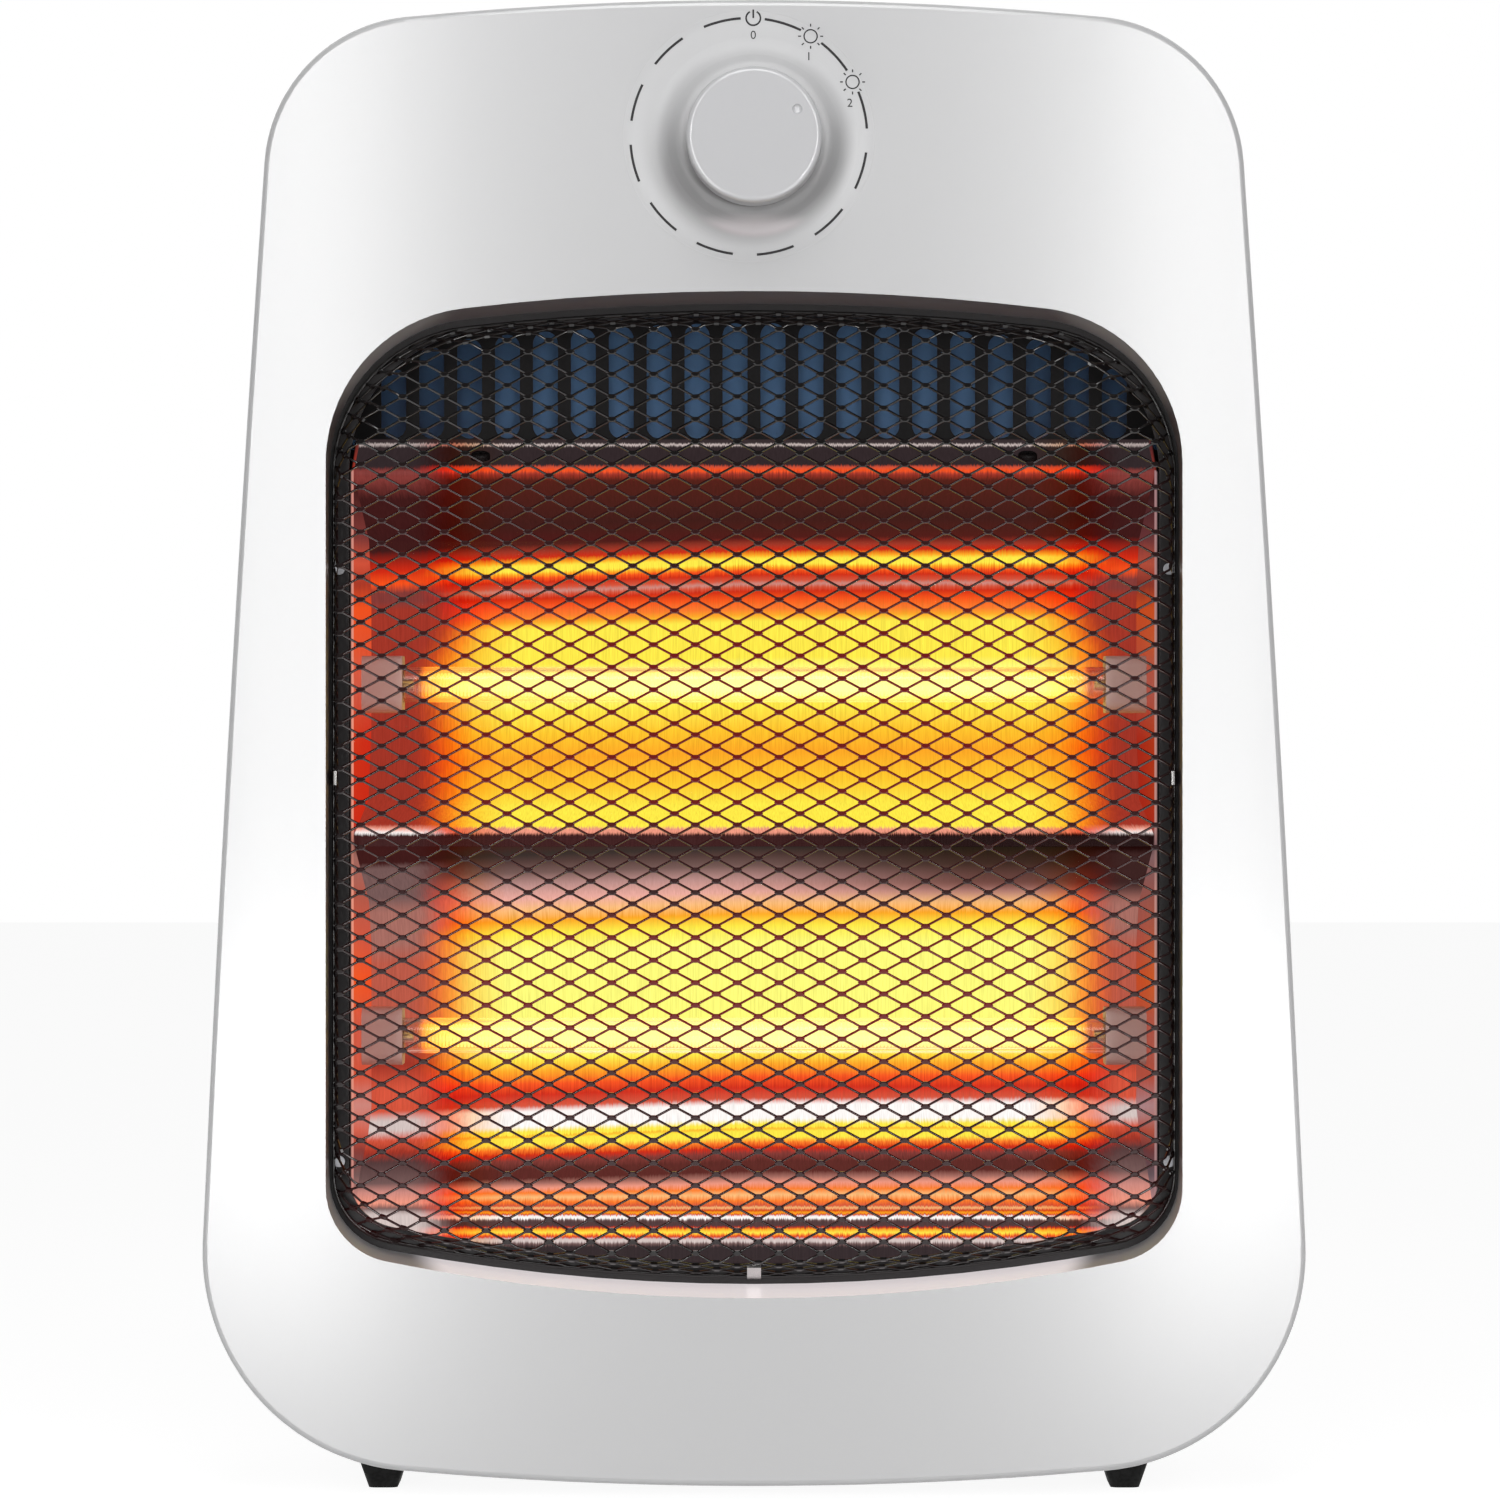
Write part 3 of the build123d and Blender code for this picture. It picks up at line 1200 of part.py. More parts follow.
def rear_casing():
    """Black moulding with air slots, a grip recess, screw wells, foot seats and pads."""
    blank = casing_blank(0, SPIGOT_FRONT, CASING_BACK, CASING_EDGE_R)
    room = casing_blank(CASING_WALL, SPIGOT_FRONT - 1, CASING_INNER_BACK, CASING_EDGE_R - CASING_WALL)
    casing = blank - room
    half_l, half_h = GRIP_LENGTH / 2, GRIP_HEIGHT / 2
    grip_front = CASING_BACK - GRIP_DEPTH
    pocket = Pos(0, GRIP_Z) * RectangleRounded(GRIP_LENGTH, GRIP_HEIGHT, half_h - 1)
    half_l, half_h = half_l + GRIP_WALL, half_h + GRIP_WALL
    shell = Pos(0, GRIP_Z) * RectangleRounded(2 * half_l, 2 * half_h, half_h - 1)
    wells = [
        rod((x, y_at(POST_BACK + SEAT), z), (0, 1, 0), WELL_R, CASING_INNER_BACK - POST_BACK + 0.5)
        for x, z in POSTS
    ]
    casing = casing + prism(shell, grip_front - GRIP_WALL, CASING_INNER_BACK + 0.5) + wells
    casing = casing + foot_seats() + [pad & blank for pad in floor_pads()]
    casing = casing - prism(pocket, grip_front, CASING_BACK + 1)
    casing = casing - [
        rod((x, y_at(POST_BACK + SEAT + WELL_FLOOR), z), (0, 1, 0), WELL_BORE_R, CASING_BACK)
        for x, z in POSTS
    ]
    casing = casing - [
        rod((x, y_at(POST_BACK - 1), z), (0, 1, 0), CASING_SCREW[2] + SLACK, WELL_FLOOR + 2)
        for x, z in POSTS
    ]
    casing = casing - air_slots()
    pilot = SMALL_SCREW[2] + PILOT_PLAY
    places = foot_places().values()
    casing = casing - [rod((x, y, FOOT_SEAT_Z - 1), (0, 0, 1), pilot, 1 + FOOT_PILOT) for x, y in places]
    casing = casing - rod((0, y_at(TIP_DEPTH), 0), (0, 0, 1), PLUNGER_R + 2 * SLACK, PAD_TOP + 1)
    gland_at = (BLOCK_X, y_at(CASING_INNER_BACK - 1), CORD_Z)
    casing = casing - rod(gland_at, (0, 1, 0), GLAND_R + SEAT, CASING_WALL + 2)
    casing = casing - [rod(at, (0, 0, -1), pilot, CLAMP_SCREW_GRIP + 1) for at in clamp_screw_places()]
    return casing - [rod((x, y, PAD_TOP), (0, 0, -1), pilot, PAD_PILOT) for x, y in pad_screw_places()]


def air_slots():
    """Rows of upright air slots in the casing's back."""
    cutters = []
    high, low = PANEL_TOP - UPPER_VENT_DROP, PANEL_BOTTOM + LOWER_VENT_RISE
    rows = [high, high - VENT_ROW_GAP, low + VENT_ROW_GAP, low + 2 * VENT_ROW_GAP]
    shape = RectangleRounded(VENT_WIDTH, VENT_LENGTH, VENT_WIDTH / 2 - 0.01)
    for z in rows:
        for column in range(VENT_COLUMNS):
            x = (column - (VENT_COLUMNS - 1) / 2) * VENT_PITCH
            cutters.append(prism(Pos(x, z) * shape, CASING_INNER_BACK - 1, CASING_BACK + 1))
    return cutters


def foot_places():
    """Centre of each foot, seen from above."""
    places = {}
    for row, depth in (("front", FRONT_FOOT_DEPTH), ("rear", REAR_FOOT_DEPTH)):
        for name, side in SIDES.items():
            places[f"{row}_{name}"] = (side * FOOT_X, y_at(depth))
    return places


def foot_seats():
    """Flat blocks under the casing's floor that the feet are screwed to."""
    half_w = FOOT_TOP_WIDTH / 2 + SEAT_RIM
    half_l = FOOT_TOP_LENGTH / 2 + SEAT_RIM
    low, top = FOOT_SEAT_Z, FOOT_SEAT_Z + SEAT_BLOCK
    places = foot_places().values()
    return [box(x - half_w, x + half_w, y - half_l, y + half_l, low, top) for x, y in places]


def floor_pads():
    """Pads for the tip-over switch and the terminal block, and the saddle of the cord clamp."""
    y = y_at(TIP_DEPTH)
    half_w, half_l = TIP_WIDTH / 2 + 1, TIP_LENGTH / 2 + 1
    low = CASING_FLOOR
    pads = [box(-half_w, half_w, y - half_l, y + half_l, low, PAD_TOP)]
    y = y_at(BLOCK_DEPTH)
    half_w, half_l = BLOCK_WIDTH / 2 + 1, BLOCK_LENGTH / 2 + 1
    pads.append(box(BLOCK_X - half_w, BLOCK_X + half_w, y - half_l, y + half_l, low, PAD_TOP))
    y = y_at(SADDLE_DEPTH)
    half_w, half_l = SADDLE_WIDTH / 2, SADDLE_LENGTH / 2
    bottom = CORD_Z - CORD_R
    saddle = box(BLOCK_X - half_w, BLOCK_X + half_w, y - half_l, y + half_l, low, bottom)
    top = CORD_Z + CORD_R
    left = box(BLOCK_X - half_w, BLOCK_X - half_w + PILLAR_WIDTH, y - half_l, y + half_l, bottom - 1, top)
    right = box(BLOCK_X + half_w - PILLAR_WIDTH, BLOCK_X + half_w, y - half_l, y + half_l, bottom - 1, top)
    pads.append(saddle + left + right)
    return pads


def clamp_screw_places():
    """Two screws of the cord clamp, at the tops of the saddle's pillars."""
    reach = SADDLE_WIDTH / 2 - PILLAR_WIDTH / 2
    return [(BLOCK_X + side * reach, y_at(SADDLE_DEPTH), CORD_Z + CORD_R) for side in SIDES.values()]


def pad_screw_places():
    """Two screws each for the tip-over switch and the terminal block."""
    reach = TIP_WIDTH / 2 - PAD_SCREW_INSET
    shift = TIP_LENGTH / 2 - PAD_SCREW_INSET
    places = [(side * reach, y_at(TIP_DEPTH) + side * shift) for side in SIDES.values()]
    reach = BLOCK_WIDTH / 2 - PAD_SCREW_INSET
    return places + [(BLOCK_X + side * reach, y_at(BLOCK_DEPTH)) for side in SIDES.values()]


def casing_screws():
    """Four long-reach screws at the bottom of the casing's wells."""
    at = POST_BACK + SEAT + WELL_FLOOR + SEAT / 2
    return [screw(CASING_SCREW, (x, y_at(at), z), (0, -1, 0), CASING_SCREW_LENGTH) for x, z in POSTS]


def foot(x, y):
    """Tapered foot with a sunk screw hole."""
    top = Pos(x, y, FOOT_SEAT_Z - SEAT) * RectangleRounded(FOOT_TOP_WIDTH, FOOT_TOP_LENGTH, 2)
    bottom = Pos(x, y, 0) * RectangleRounded(FOOT_BOTTOM_WIDTH, FOOT_BOTTOM_LENGTH, 2)
    block = loft([bottom, top], ruled=True)
    block = block - rod((x, y, -1), (0, 0, 1), SMALL_SCREW[0] + SEAT, 1 + FOOT_SEAT_Z / 2)
    return block - rod((x, y, 0), (0, 0, 1), SMALL_SCREW[2] + SEAT, FOOT_SEAT_Z)


def foot_screws():
    """One screw up through each foot."""
    z = FOOT_SEAT_Z / 2 - SEAT / 2
    length = FOOT_SEAT_Z - z + FOOT_SCREW_GRIP
    return [screw(SMALL_SCREW, (x, y, z), (0, 0, 1), length) for x, y in foot_places().values()]


def tip_switch_housing():
    """Housing of the tip-over switch: bearing, spring chamber and roof."""
    y = y_at(TIP_DEPTH)
    half_w, half_l = TIP_WIDTH / 2, TIP_LENGTH / 2
    block = box(-half_w, half_w, y - half_l, y + half_l, TIP_FLOOR, TIP_TOP)
    block = fillet(block.edges().filter_by(Axis.Z), 2)
    block = block - rod((0, y, TIP_FLOOR - 1), (0, 0, 1), PLUNGER_R + RUNNING, TIP_WALL + 2)
    floor = TIP_FLOOR + TIP_WALL
    block = block - rod((0, y, floor), (0, 0, 1), TIP_CHAMBER_R, TIP_CEILING - floor)
    block = block - rod((0, y, TIP_CEILING - 1), (0, 0, 1), STEM_R + RUNNING, TIP_ROOF + 2)
    shank = SMALL_SCREW[2] + SEAT
    for x, at in pad_screw_places()[:2]:
        block = block - rod((x, at, TIP_FLOOR + SCREW_LEDGE), (0, 0, 1), SMALL_SCREW[0] + SEAT, TIP_TOP)
        block = block - rod((x, at, TIP_FLOOR - 1), (0, 0, 1), shank, SCREW_LEDGE + 2)
    return block


def tip_switch_screws():
    """Two screws that hold the tip-over switch to the casing's floor."""
    z = TIP_FLOOR + SCREW_LEDGE + SEAT / 2
    length = SCREW_LEDGE + PAD_PILOT - SLACK
    return [screw(SMALL_SCREW, (x, y, z), (0, 0, -1), length) for x, y in pad_screw_places()[:2]]


def tip_plunger():
    """Plunger that the surface holds up while the heater stands, with its collar and stem."""
    y = y_at(TIP_DEPTH)
    plunger = rod((0, y, 0), (0, 0, 1), PLUNGER_R, COLLAR_Z + COLLAR_T)
    plunger = fillet(plunger.edges().sort_by(Axis.Z)[:1], 0.8)
    collar = rod((0, y, COLLAR_Z), (0, 0, 1), COLLAR_R, COLLAR_T)
    stem = rod((0, y, COLLAR_Z), (0, 0, 1), STEM_R, BRIDGE_Z - COLLAR_Z)
    return plunger + collar + stem


def tip_contact_bridge():
    """Brass bridge on the stem that joins the two fixed contacts."""
    y = y_at(TIP_DEPTH)
    half_l, half_w = BRIDGE_LENGTH / 2, BRIDGE_WIDTH / 2
    return box(-half_l, half_l, y - half_w, y + half_w, BRIDGE_Z, BRIDGE_Z + BRIDGE_T)


def tip_spring():
    """Compression spring between the collar and the housing's roof."""
    room = SPRING_ROOM - 4 * SPRING_WIRE_R - 2 * SEAT
    start = (0, y_at(TIP_DEPTH), SPRING_Z + SPRING_WIRE_R * 2)
    return wound_wire(start, (0, 0, 1), (1, 0, 0), SPRING_R, SPRING_WIRE_R, room, SPRING_TURNS, 0)


def tip_switch_cover():
    """Cap over the contacts of the tip-over switch, with slots for their blades."""
    y = y_at(TIP_DEPTH)
    half_w, half_l = TIP_WIDTH / 2, TIP_LENGTH / 2
    low = TIP_TOP + SEAT
    high = low + TIP_COVER_HEIGHT
    wall = TIP_COVER_WALL
    cap = box(-half_w, half_w, y - half_l, y + half_l, low, high)
    cap = fillet(cap.edges().filter_by(Axis.Z), 2)
    inner_w, inner_l = half_w - wall, half_l - wall
    cap = cap - box(-inner_w, inner_w, y - inner_l, y + inner_l, low - 1, high - wall)
    half_b = BRIDGE_WIDTH / 2 + SEAT
    low, high = CONTACT_Z - SEAT, CONTACT_Z + BRIDGE_T + SEAT
    return cap - box(-half_w - 1, half_w + 1, y - half_b, y + half_b, low, high)


def tip_contacts():
    """Two fixed contacts that leave the cover as blades."""
    y = y_at(TIP_DEPTH)
    half_b = BRIDGE_WIDTH / 2
    reach = TIP_WIDTH / 2 + BLADE_LENGTH
    contacts = []
    for side in SIDES.values():
        x0, x1 = sorted((side * (STEM_R + CONTACT_GAP), side * reach))
        contacts.append(box(x0, x1, y - half_b, y + half_b, CONTACT_Z, CONTACT_Z + BRIDGE_T))
    return contacts


def terminal_block():
    """Moulded block with a row of wire ways and screw holes."""
    y = y_at(BLOCK_DEPTH)
    half_w, half_l = BLOCK_WIDTH / 2, BLOCK_LENGTH / 2
    low = PAD_TOP + SEAT
    block = box(BLOCK_X - half_w, BLOCK_X + half_w, y - half_l, y + half_l, low, low + BLOCK_HEIGHT)
    block = fillet(block.edges().filter_by(Axis.Z), 1.5)
    for x in pole_places():
        block = block - rod((x, y - half_l - 1, low + BLOCK_HEIGHT / 2), (0, 1, 0), POLE_R, BLOCK_LENGTH + 2)
        block = block - rod((x, y, low + BLOCK_HEIGHT / 2), (0, 0, 1), POLE_R, BLOCK_HEIGHT)
    for x, at in pad_screw_places()[2:]:
        block = block - rod((x, at, low + SCREW_LEDGE), (0, 0, 1), SMALL_SCREW[0] + SEAT, BLOCK_HEIGHT)
        block = block - rod((x, at, low - 1), (0, 0, 1), SMALL_SCREW[2] + SEAT, SCREW_LEDGE + 2)
    return block


def pole_places():
    """X of each pole of the terminal block."""
    return [BLOCK_X + (k - (BLOCK_POLES - 1) / 2) * POLE_PITCH for k in range(BLOCK_POLES)]


def block_screws():
    """Two screws that hold the terminal block."""
    z = PAD_TOP + SEAT + SCREW_LEDGE + SEAT / 2
    length = SCREW_LEDGE + PAD_PILOT - SLACK
    return [screw(SMALL_SCREW, (x, y, z), (0, 0, -1), length) for x, y in pad_screw_places()[2:]]


def terminal_clamps():
    """Brass sleeve and screw in each pole of the terminal block."""
    y = y_at(BLOCK_DEPTH)
    z = PAD_TOP + SEAT + BLOCK_HEIGHT / 2
    sleeves = []
    for x in pole_places():
        sleeve = rod((x, y - BLOCK_LENGTH / 2 + 2, z), (0, 1, 0), POLE_R - SEAT / 2, BLOCK_LENGTH - 4)
        bore = rod((x, y - BLOCK_LENGTH / 2 + 1, z), (0, 1, 0), WIRE_R + SEAT, BLOCK_LENGTH - 2)
        sleeves.append(sleeve - bore)
    return sleeves


def cord_gland():
    """Bushing in the back of the casing that a cord would pass through."""
    at = (BLOCK_X, y_at(CASING_BACK + GLAND_FLANGE_T), CORD_Z)
    flange = rod(at, (0, -1, 0), GLAND_FLANGE_R, GLAND_FLANGE_T - SEAT)
    flange = fillet(flange.edges().sort_by(Axis.Y)[-1], 1.0)
    body = rod(at, (0, -1, 0), GLAND_R, GLAND_LENGTH)
    return flange + body - rod((at[0], at[1] + 1, at[2]), (0, -1, 0), CORD_R, GLAND_LENGTH + 2)


def cord_clamp():
    """Bar over the saddle that would grip a cord."""
    y = y_at(SADDLE_DEPTH)
    half_w, half_l = SADDLE_WIDTH / 2, SADDLE_LENGTH / 2
    low = CORD_Z + CORD_R + SEAT
    bar = box(BLOCK_X - half_w, BLOCK_X + half_w, y - half_l, y + half_l, low, low + CLAMP_T)
    bar = fillet(bar.edges().filter_by(Axis.Z), 1.5)
    free = SMALL_SCREW[2] + SEAT
    return bar - [rod((x, at, low - 1), (0, 0, 1), free, CLAMP_T + 2) for x, at, z in clamp_screw_places()]


def clamp_screws():
    """Two screws of the cord clamp."""
    rise = SEAT + CLAMP_T + SEAT / 2
    length = rise + CLAMP_SCREW_GRIP
    return [screw(SMALL_SCREW, (x, y, z + rise), (0, 0, -1), length) for x, y, z in clamp_screw_places()]


def thermal_cutout():
    """Round thermal switch on the back of the heat shield, with two blades."""
    start = (0, y_at(SHIELD_BACK + SEAT), CUTOUT_Z)
    disc = rod(start, (0, 1, 0), CUTOUT_R, CUTOUT_T)
    disc = fillet(disc.edges().sort_by(Axis.Y)[-1], 1.0)
    front = SHIELD_BACK + SEAT
    plate = prism(Pos(0, CUTOUT_Z) * RectangleRounded(3.4 * CUTOUT_R, CUTOUT_R, 3), front, front + 1)
    y0, y1 = y_at(front + CUTOUT_T / 2 - BLADE_T / 2), y_at(front + CUTOUT_T / 2 + BLADE_T / 2)
    reach = CUTOUT_R + BLADE_LENGTH
    blades = []
    for side in SIDES.values():
        z0, z1 = sorted((CUTOUT_Z + side * (CUTOUT_R - 2), CUTOUT_Z + side * reach))
        blades.append(box(-BLADE_WIDTH / 2, BLADE_WIDTH / 2, y0, y1, z0, z1))
    return disc + plate + blades


def wire_tube(points):
    """Insulated wire along straight runs joined by arcs."""
    path = FilletPolyline(*points, radius=WIRE_BEND)
    return sweep(Plane(origin=path @ 0, z_dir=path % 0) * Circle(WIRE_R), path=path)


def route(*points):
    """Wire through points given as (x, depth, z)."""
    return wire_tube([(x, y_at(depth), z) for x, depth, z in points])


def pole_start(index):
    """Where a wire starts inside a pole of the terminal block."""
    return (pole_places()[index], BLOCK_DEPTH - WIRE_IN_POLE, PAD_TOP + SEAT + BLOCK_HEIGHT / 2)


def live_wires():
    """Block to tip-over switch, on to the thermal cut-out, on to the rotary switch."""
    x, depth, z = pole_start(0)
    reach = TIP_WIDTH / 2 + BLADE_LENGTH + WIRE_GAP
    contact = CONTACT_Z + BRIDGE_T / 2
    first = route(
        (x, depth, z),
        (x, depth - BLOCK_LANE, z),
        (x, depth - BLOCK_LANE, contact),
        (x, TIP_DEPTH, contact),
        (reach, TIP_DEPTH, contact),
    )
    blade = SHIELD_BACK + SEAT + CUTOUT_T / 2
    lower_end = CUTOUT_Z - CUTOUT_R - BLADE_LENGTH - WIRE_GAP
    upper_end = CUTOUT_Z + CUTOUT_R + BLADE_LENGTH + WIRE_GAP
    second = route(
        (-reach, TIP_DEPTH, contact),
        (-2 * reach, TIP_DEPTH, contact),
        (-2 * reach, blade, contact),
        (-2 * reach, blade, lower_end - WIRE_STANDOFF),
        (0, blade, lower_end - WIRE_STANDOFF),
        (0, blade, lower_end),
    )
    x, z = switch_blade_places()[0]
    third = route(
        (0, blade, upper_end),
        (0, blade, upper_end + WIRE_STANDOFF),
        (0, TUBE_DEPTH + SWITCH_BACK, upper_end + WIRE_STANDOFF),
        (0, TUBE_DEPTH + SWITCH_BACK, z),
        (x, SWITCH_BACK + BLADE_LENGTH + WIRE_GAP, z),
    )
    return [first, second, third]


def load_wires():
    """Rotary switch to the left end of the upper tube and the right end of the lower one."""
    wires = []
    start = SWITCH_BACK + BLADE_LENGTH + WIRE_GAP
    end = TROUGH_FRONT + TUBE_DEPTH + PIN_REACH + BLADE_WIDTH / 2 + WIRE_GAP
    reach = PIN_OUTER - BLADE_T / 2
    lane = SHIELD_TOP + TOP_LANE_RISE
    for index, side, level in ((1, -1, "upper"), (2, 1, "lower")):
        x, z = switch_blade_places()[index]
        wires.append(
            route(
                (x, start, z),
                (x, start + SWITCH_LANE, z),
                (x, start + SWITCH_LANE, lane),
                (side * reach, start + SWITCH_LANE, lane),
                (side * reach, end + WIRE_STANDOFF, lane),
                (side * reach, end + WIRE_STANDOFF, TUBE_Z[level]),
                (side * reach, end, TUBE_Z[level]),
            )
        )
    return wires


def neutral_wires():
    """Block to the left end of the lower tube and the right end of the upper one."""
    wires = []
    reach = PIN_OUTER - BLADE_T / 2
    lane = SIDE_BOTTOM - FLOOR_LANE_DROP
    for index, side, level, front in ((1, -1, "lower", LOWER_LANE), (2, 1, "upper", UPPER_LANE)):
        x, depth, z = pole_start(index)
        end = TUBE_Z[level] - BLADE_WIDTH / 2 - WIRE_GAP
        wires.append(
            route(
                (x, depth, z),
                (x, depth - front, z),
                (x, depth - front, lane),
                (side * reach, depth - front, lane),
                (side * reach, depth - front, end - WIRE_STANDOFF),
                (side * reach, TUBE_Y + PIN_LANE, end - WIRE_STANDOFF),
                (side * reach, TUBE_Y + PIN_LANE, end),
            )
        )
    return wires


def earth_wire():
    """Block to the back of the heat shield."""
    x, depth, z = pole_start(3)
    return route(
        (x, depth, z),
        (x, depth - BLOCK_LANE, z),
        (x, depth - BLOCK_LANE, CONTACT_Z + EARTH_LANE_RISE),
        (x, SHIELD_BACK + EARTH_LANE, CONTACT_Z + EARTH_LANE_RISE),
        (x, SHIELD_BACK + EARTH_LANE, SIDE_BOTTOM + EARTH_RISE),
        (x, SHIELD_BACK + WIRE_GAP, SIDE_BOTTOM + EARTH_RISE),
    )


PARTS = {}


def add(name, pieces):
    """Keep a sub-part under its name."""
    PARTS[name] = pieces if isinstance(pieces, list) else [pieces]


def build():
    """Make every sub-part."""
    add("front_panel", front_panel())
    add("knob", knob())
    add("switch_shaft", switch_shaft())
    add("switch_rotor", switch_rotor())
    add("switch_yoke", switch_yoke())
    add("switch_body", switch_body())
    add("switch_terminals", switch_terminals())
    add("switch_screws", switch_screws())
    add("guard_mesh", guard_mesh())
    add("guard_clips", guard_clips())
    add("inner_frame", inner_frame())
    add("frame_screws", frame_screws())
    for name, side in SIDES.items():
        add(f"reflector_side_{name}", side_plate(side))
    add("side_plate_screws", side_screws())
    add("upper_reflector", upper_reflector())
    add("lower_reflector", lower_reflector())
    add("ledge_screws", ledge_screws())
    add("vent_baffle", vent_baffle())
    add("baffle_screws", baffle_screws())
    add("heat_shield", heat_shield())
    add("shield_screws", shield_screws())
    for level in TUBE_Z:
        add(f"{level}_quartz_tube", quartz_tube(level))
        add(f"{level}_heating_coil", heating_coil(level))
        add(f"{level}_tube_terminals", tube_terminals(level))
        for name, side in SIDES.items():
            add(f"{level}_{name}_end_cap", end_cap(level, side))
    add("cap_rings", cap_rings())
    add("rear_casing", rear_casing())
    add("casing_screws", casing_screws())
    for name, (x, y) in foot_places().items():
        add(f"foot_{name}", foot(x, y))
    add("foot_screws", foot_screws())
    add("tip_switch_housing", tip_switch_housing())
    add("tip_switch_cover", tip_switch_cover())
    add("tip_switch_screws", tip_switch_screws())
    add("tip_plunger", tip_plunger())
    add("tip_contact_bridge", tip_contact_bridge())
    add("tip_spring", tip_spring())
    add("tip_contacts", tip_contacts())
    add("terminal_block", terminal_block())
    add("terminal_clamps", terminal_clamps())
    add("block_screws", block_screws())
    add("cord_gland", cord_gland())
    add("cord_clamp", cord_clamp())
    add("clamp_screws", clamp_screws())
    add("thermal_cutout", thermal_cutout())
    add("live_wires", live_wires())
    add("load_wires", load_wires())
    add("neutral_wires", neutral_wires())
    add("earth_wire", earth_wire())


def main():
    """Write one file for each sub-part."""
    build()
    os.makedirs("parts", exist_ok=True)
    for name, pieces in PARTS.items():
        solids = [solid for piece in pieces for solid in piece.solids()]
        shape = solids[0] if len(solids) == 1 else Compound(children=solids)
        export_step(shape, f"parts/{name}.step")


main()
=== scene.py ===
# %% [markdown]
# A quartz heater, dressed for its picture. The solids come from the frame: every
# node of it is already in its place, in metres, with X to the right, Y to the
# back and Z up. What is made here is what a plain solid can't show: the fine
# expanded-metal guard, the wound heating coils, the printed dial, the finishes
# and the light. Lengths are written in millimetres, as on a drawing.

# %% Load the frame
import json
import math

import bpy
import numpy as np
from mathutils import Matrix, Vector

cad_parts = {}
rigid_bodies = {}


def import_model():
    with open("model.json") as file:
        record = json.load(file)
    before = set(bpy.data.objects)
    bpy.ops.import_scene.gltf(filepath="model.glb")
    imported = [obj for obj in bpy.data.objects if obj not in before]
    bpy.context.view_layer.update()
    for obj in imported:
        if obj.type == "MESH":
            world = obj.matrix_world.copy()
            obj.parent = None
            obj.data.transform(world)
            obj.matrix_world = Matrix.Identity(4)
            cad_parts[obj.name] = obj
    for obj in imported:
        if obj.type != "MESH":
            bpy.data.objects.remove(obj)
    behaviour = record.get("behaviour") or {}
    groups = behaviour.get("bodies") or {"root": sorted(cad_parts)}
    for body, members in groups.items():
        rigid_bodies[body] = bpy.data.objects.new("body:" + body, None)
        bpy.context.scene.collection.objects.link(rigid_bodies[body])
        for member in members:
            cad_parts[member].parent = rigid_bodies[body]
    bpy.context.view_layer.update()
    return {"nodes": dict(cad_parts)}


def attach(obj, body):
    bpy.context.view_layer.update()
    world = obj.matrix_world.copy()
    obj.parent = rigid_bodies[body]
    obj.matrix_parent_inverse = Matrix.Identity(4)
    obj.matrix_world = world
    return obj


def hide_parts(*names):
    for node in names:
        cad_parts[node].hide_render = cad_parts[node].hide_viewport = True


for leftover in list(bpy.data.objects):
    bpy.data.objects.remove(leftover)
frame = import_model()
nodes = frame["nodes"]
MM = 0.001
HEATER = "heater"
print("nodes in the frame:", len(nodes))

# %% [markdown]
# The photograph looks straight at the front, level with the middle of the
# heater. A long lens from a metre and a half keeps its sides nearly parallel.

# %% Camera
FRONT_PLANE = -48.7
CAMERA_PLACE = (-1.0, -1536.7, 184.25)
LENS = 146.8
SENSOR = 36.0

camera_data = bpy.data.cameras.new("camera")
camera_data.lens = LENS
camera_data.sensor_width = SENSOR
camera = bpy.data.objects.new("camera", camera_data)
camera.location = [value * MM for value in CAMERA_PLACE]
camera.rotation_euler = (math.radians(90), 0, 0)
bpy.context.scene.collection.objects.link(camera)
bpy.context.scene.camera = camera
bpy.context.scene.view_settings.view_transform = "Standard"
print("camera at", tuple(camera.location))

# %% [markdown]
# Node trees get long when every socket is set on its own line. This helper adds
# a node, sets its options, and fills or links its inputs in one call. It serves
# the finishes and the geometry trees alike.


# %% Helpers for node trees
def put(tree, kind, inputs=None, **options):
    """Adds a node. A socket given as an input is linked, any other value is set."""
    node = tree.nodes.new(kind)
    for name, value in options.items():
        setattr(node, name, value)
    for name, value in (inputs or {}).items():
        if isinstance(value, bpy.types.NodeSocket):
            tree.links.new(value, node.inputs[name])
        else:
            node.inputs[name].default_value = value
    return node


def sums(tree, operation, *values, clamp=False):
    """One Math node, and its result."""
    node = put(tree, "ShaderNodeMath", dict(enumerate(values)), operation=operation)
    node.use_clamp = clamp
    return node.outputs[0]


def ramp(tree, factor, stops, smooth=False):
    """A colour ramp with stops of (place, colour)."""
    node = put(tree, "ShaderNodeValToRGB", {0: factor})
    bar = node.color_ramp
    bar.interpolation = "EASE" if smooth else "LINEAR"
    while len(bar.elements) < len(stops):
        bar.elements.new(0.5)
    for element, (place, colour) in zip(bar.elements, sorted(stops, key=lambda s: s[0])):
        element.position = place
        element.color = (*colour[:3], 1)
    return node.outputs[0]


def fade(tree, value, low, high):
    """Rises smoothly from 0 at low to 1 at high."""
    node = put(
        tree,
        "ShaderNodeMapRange",
        {"Value": value, "From Min": low, "From Max": high},
        interpolation_type="SMOOTHSTEP",
    )
    return node.outputs[0]


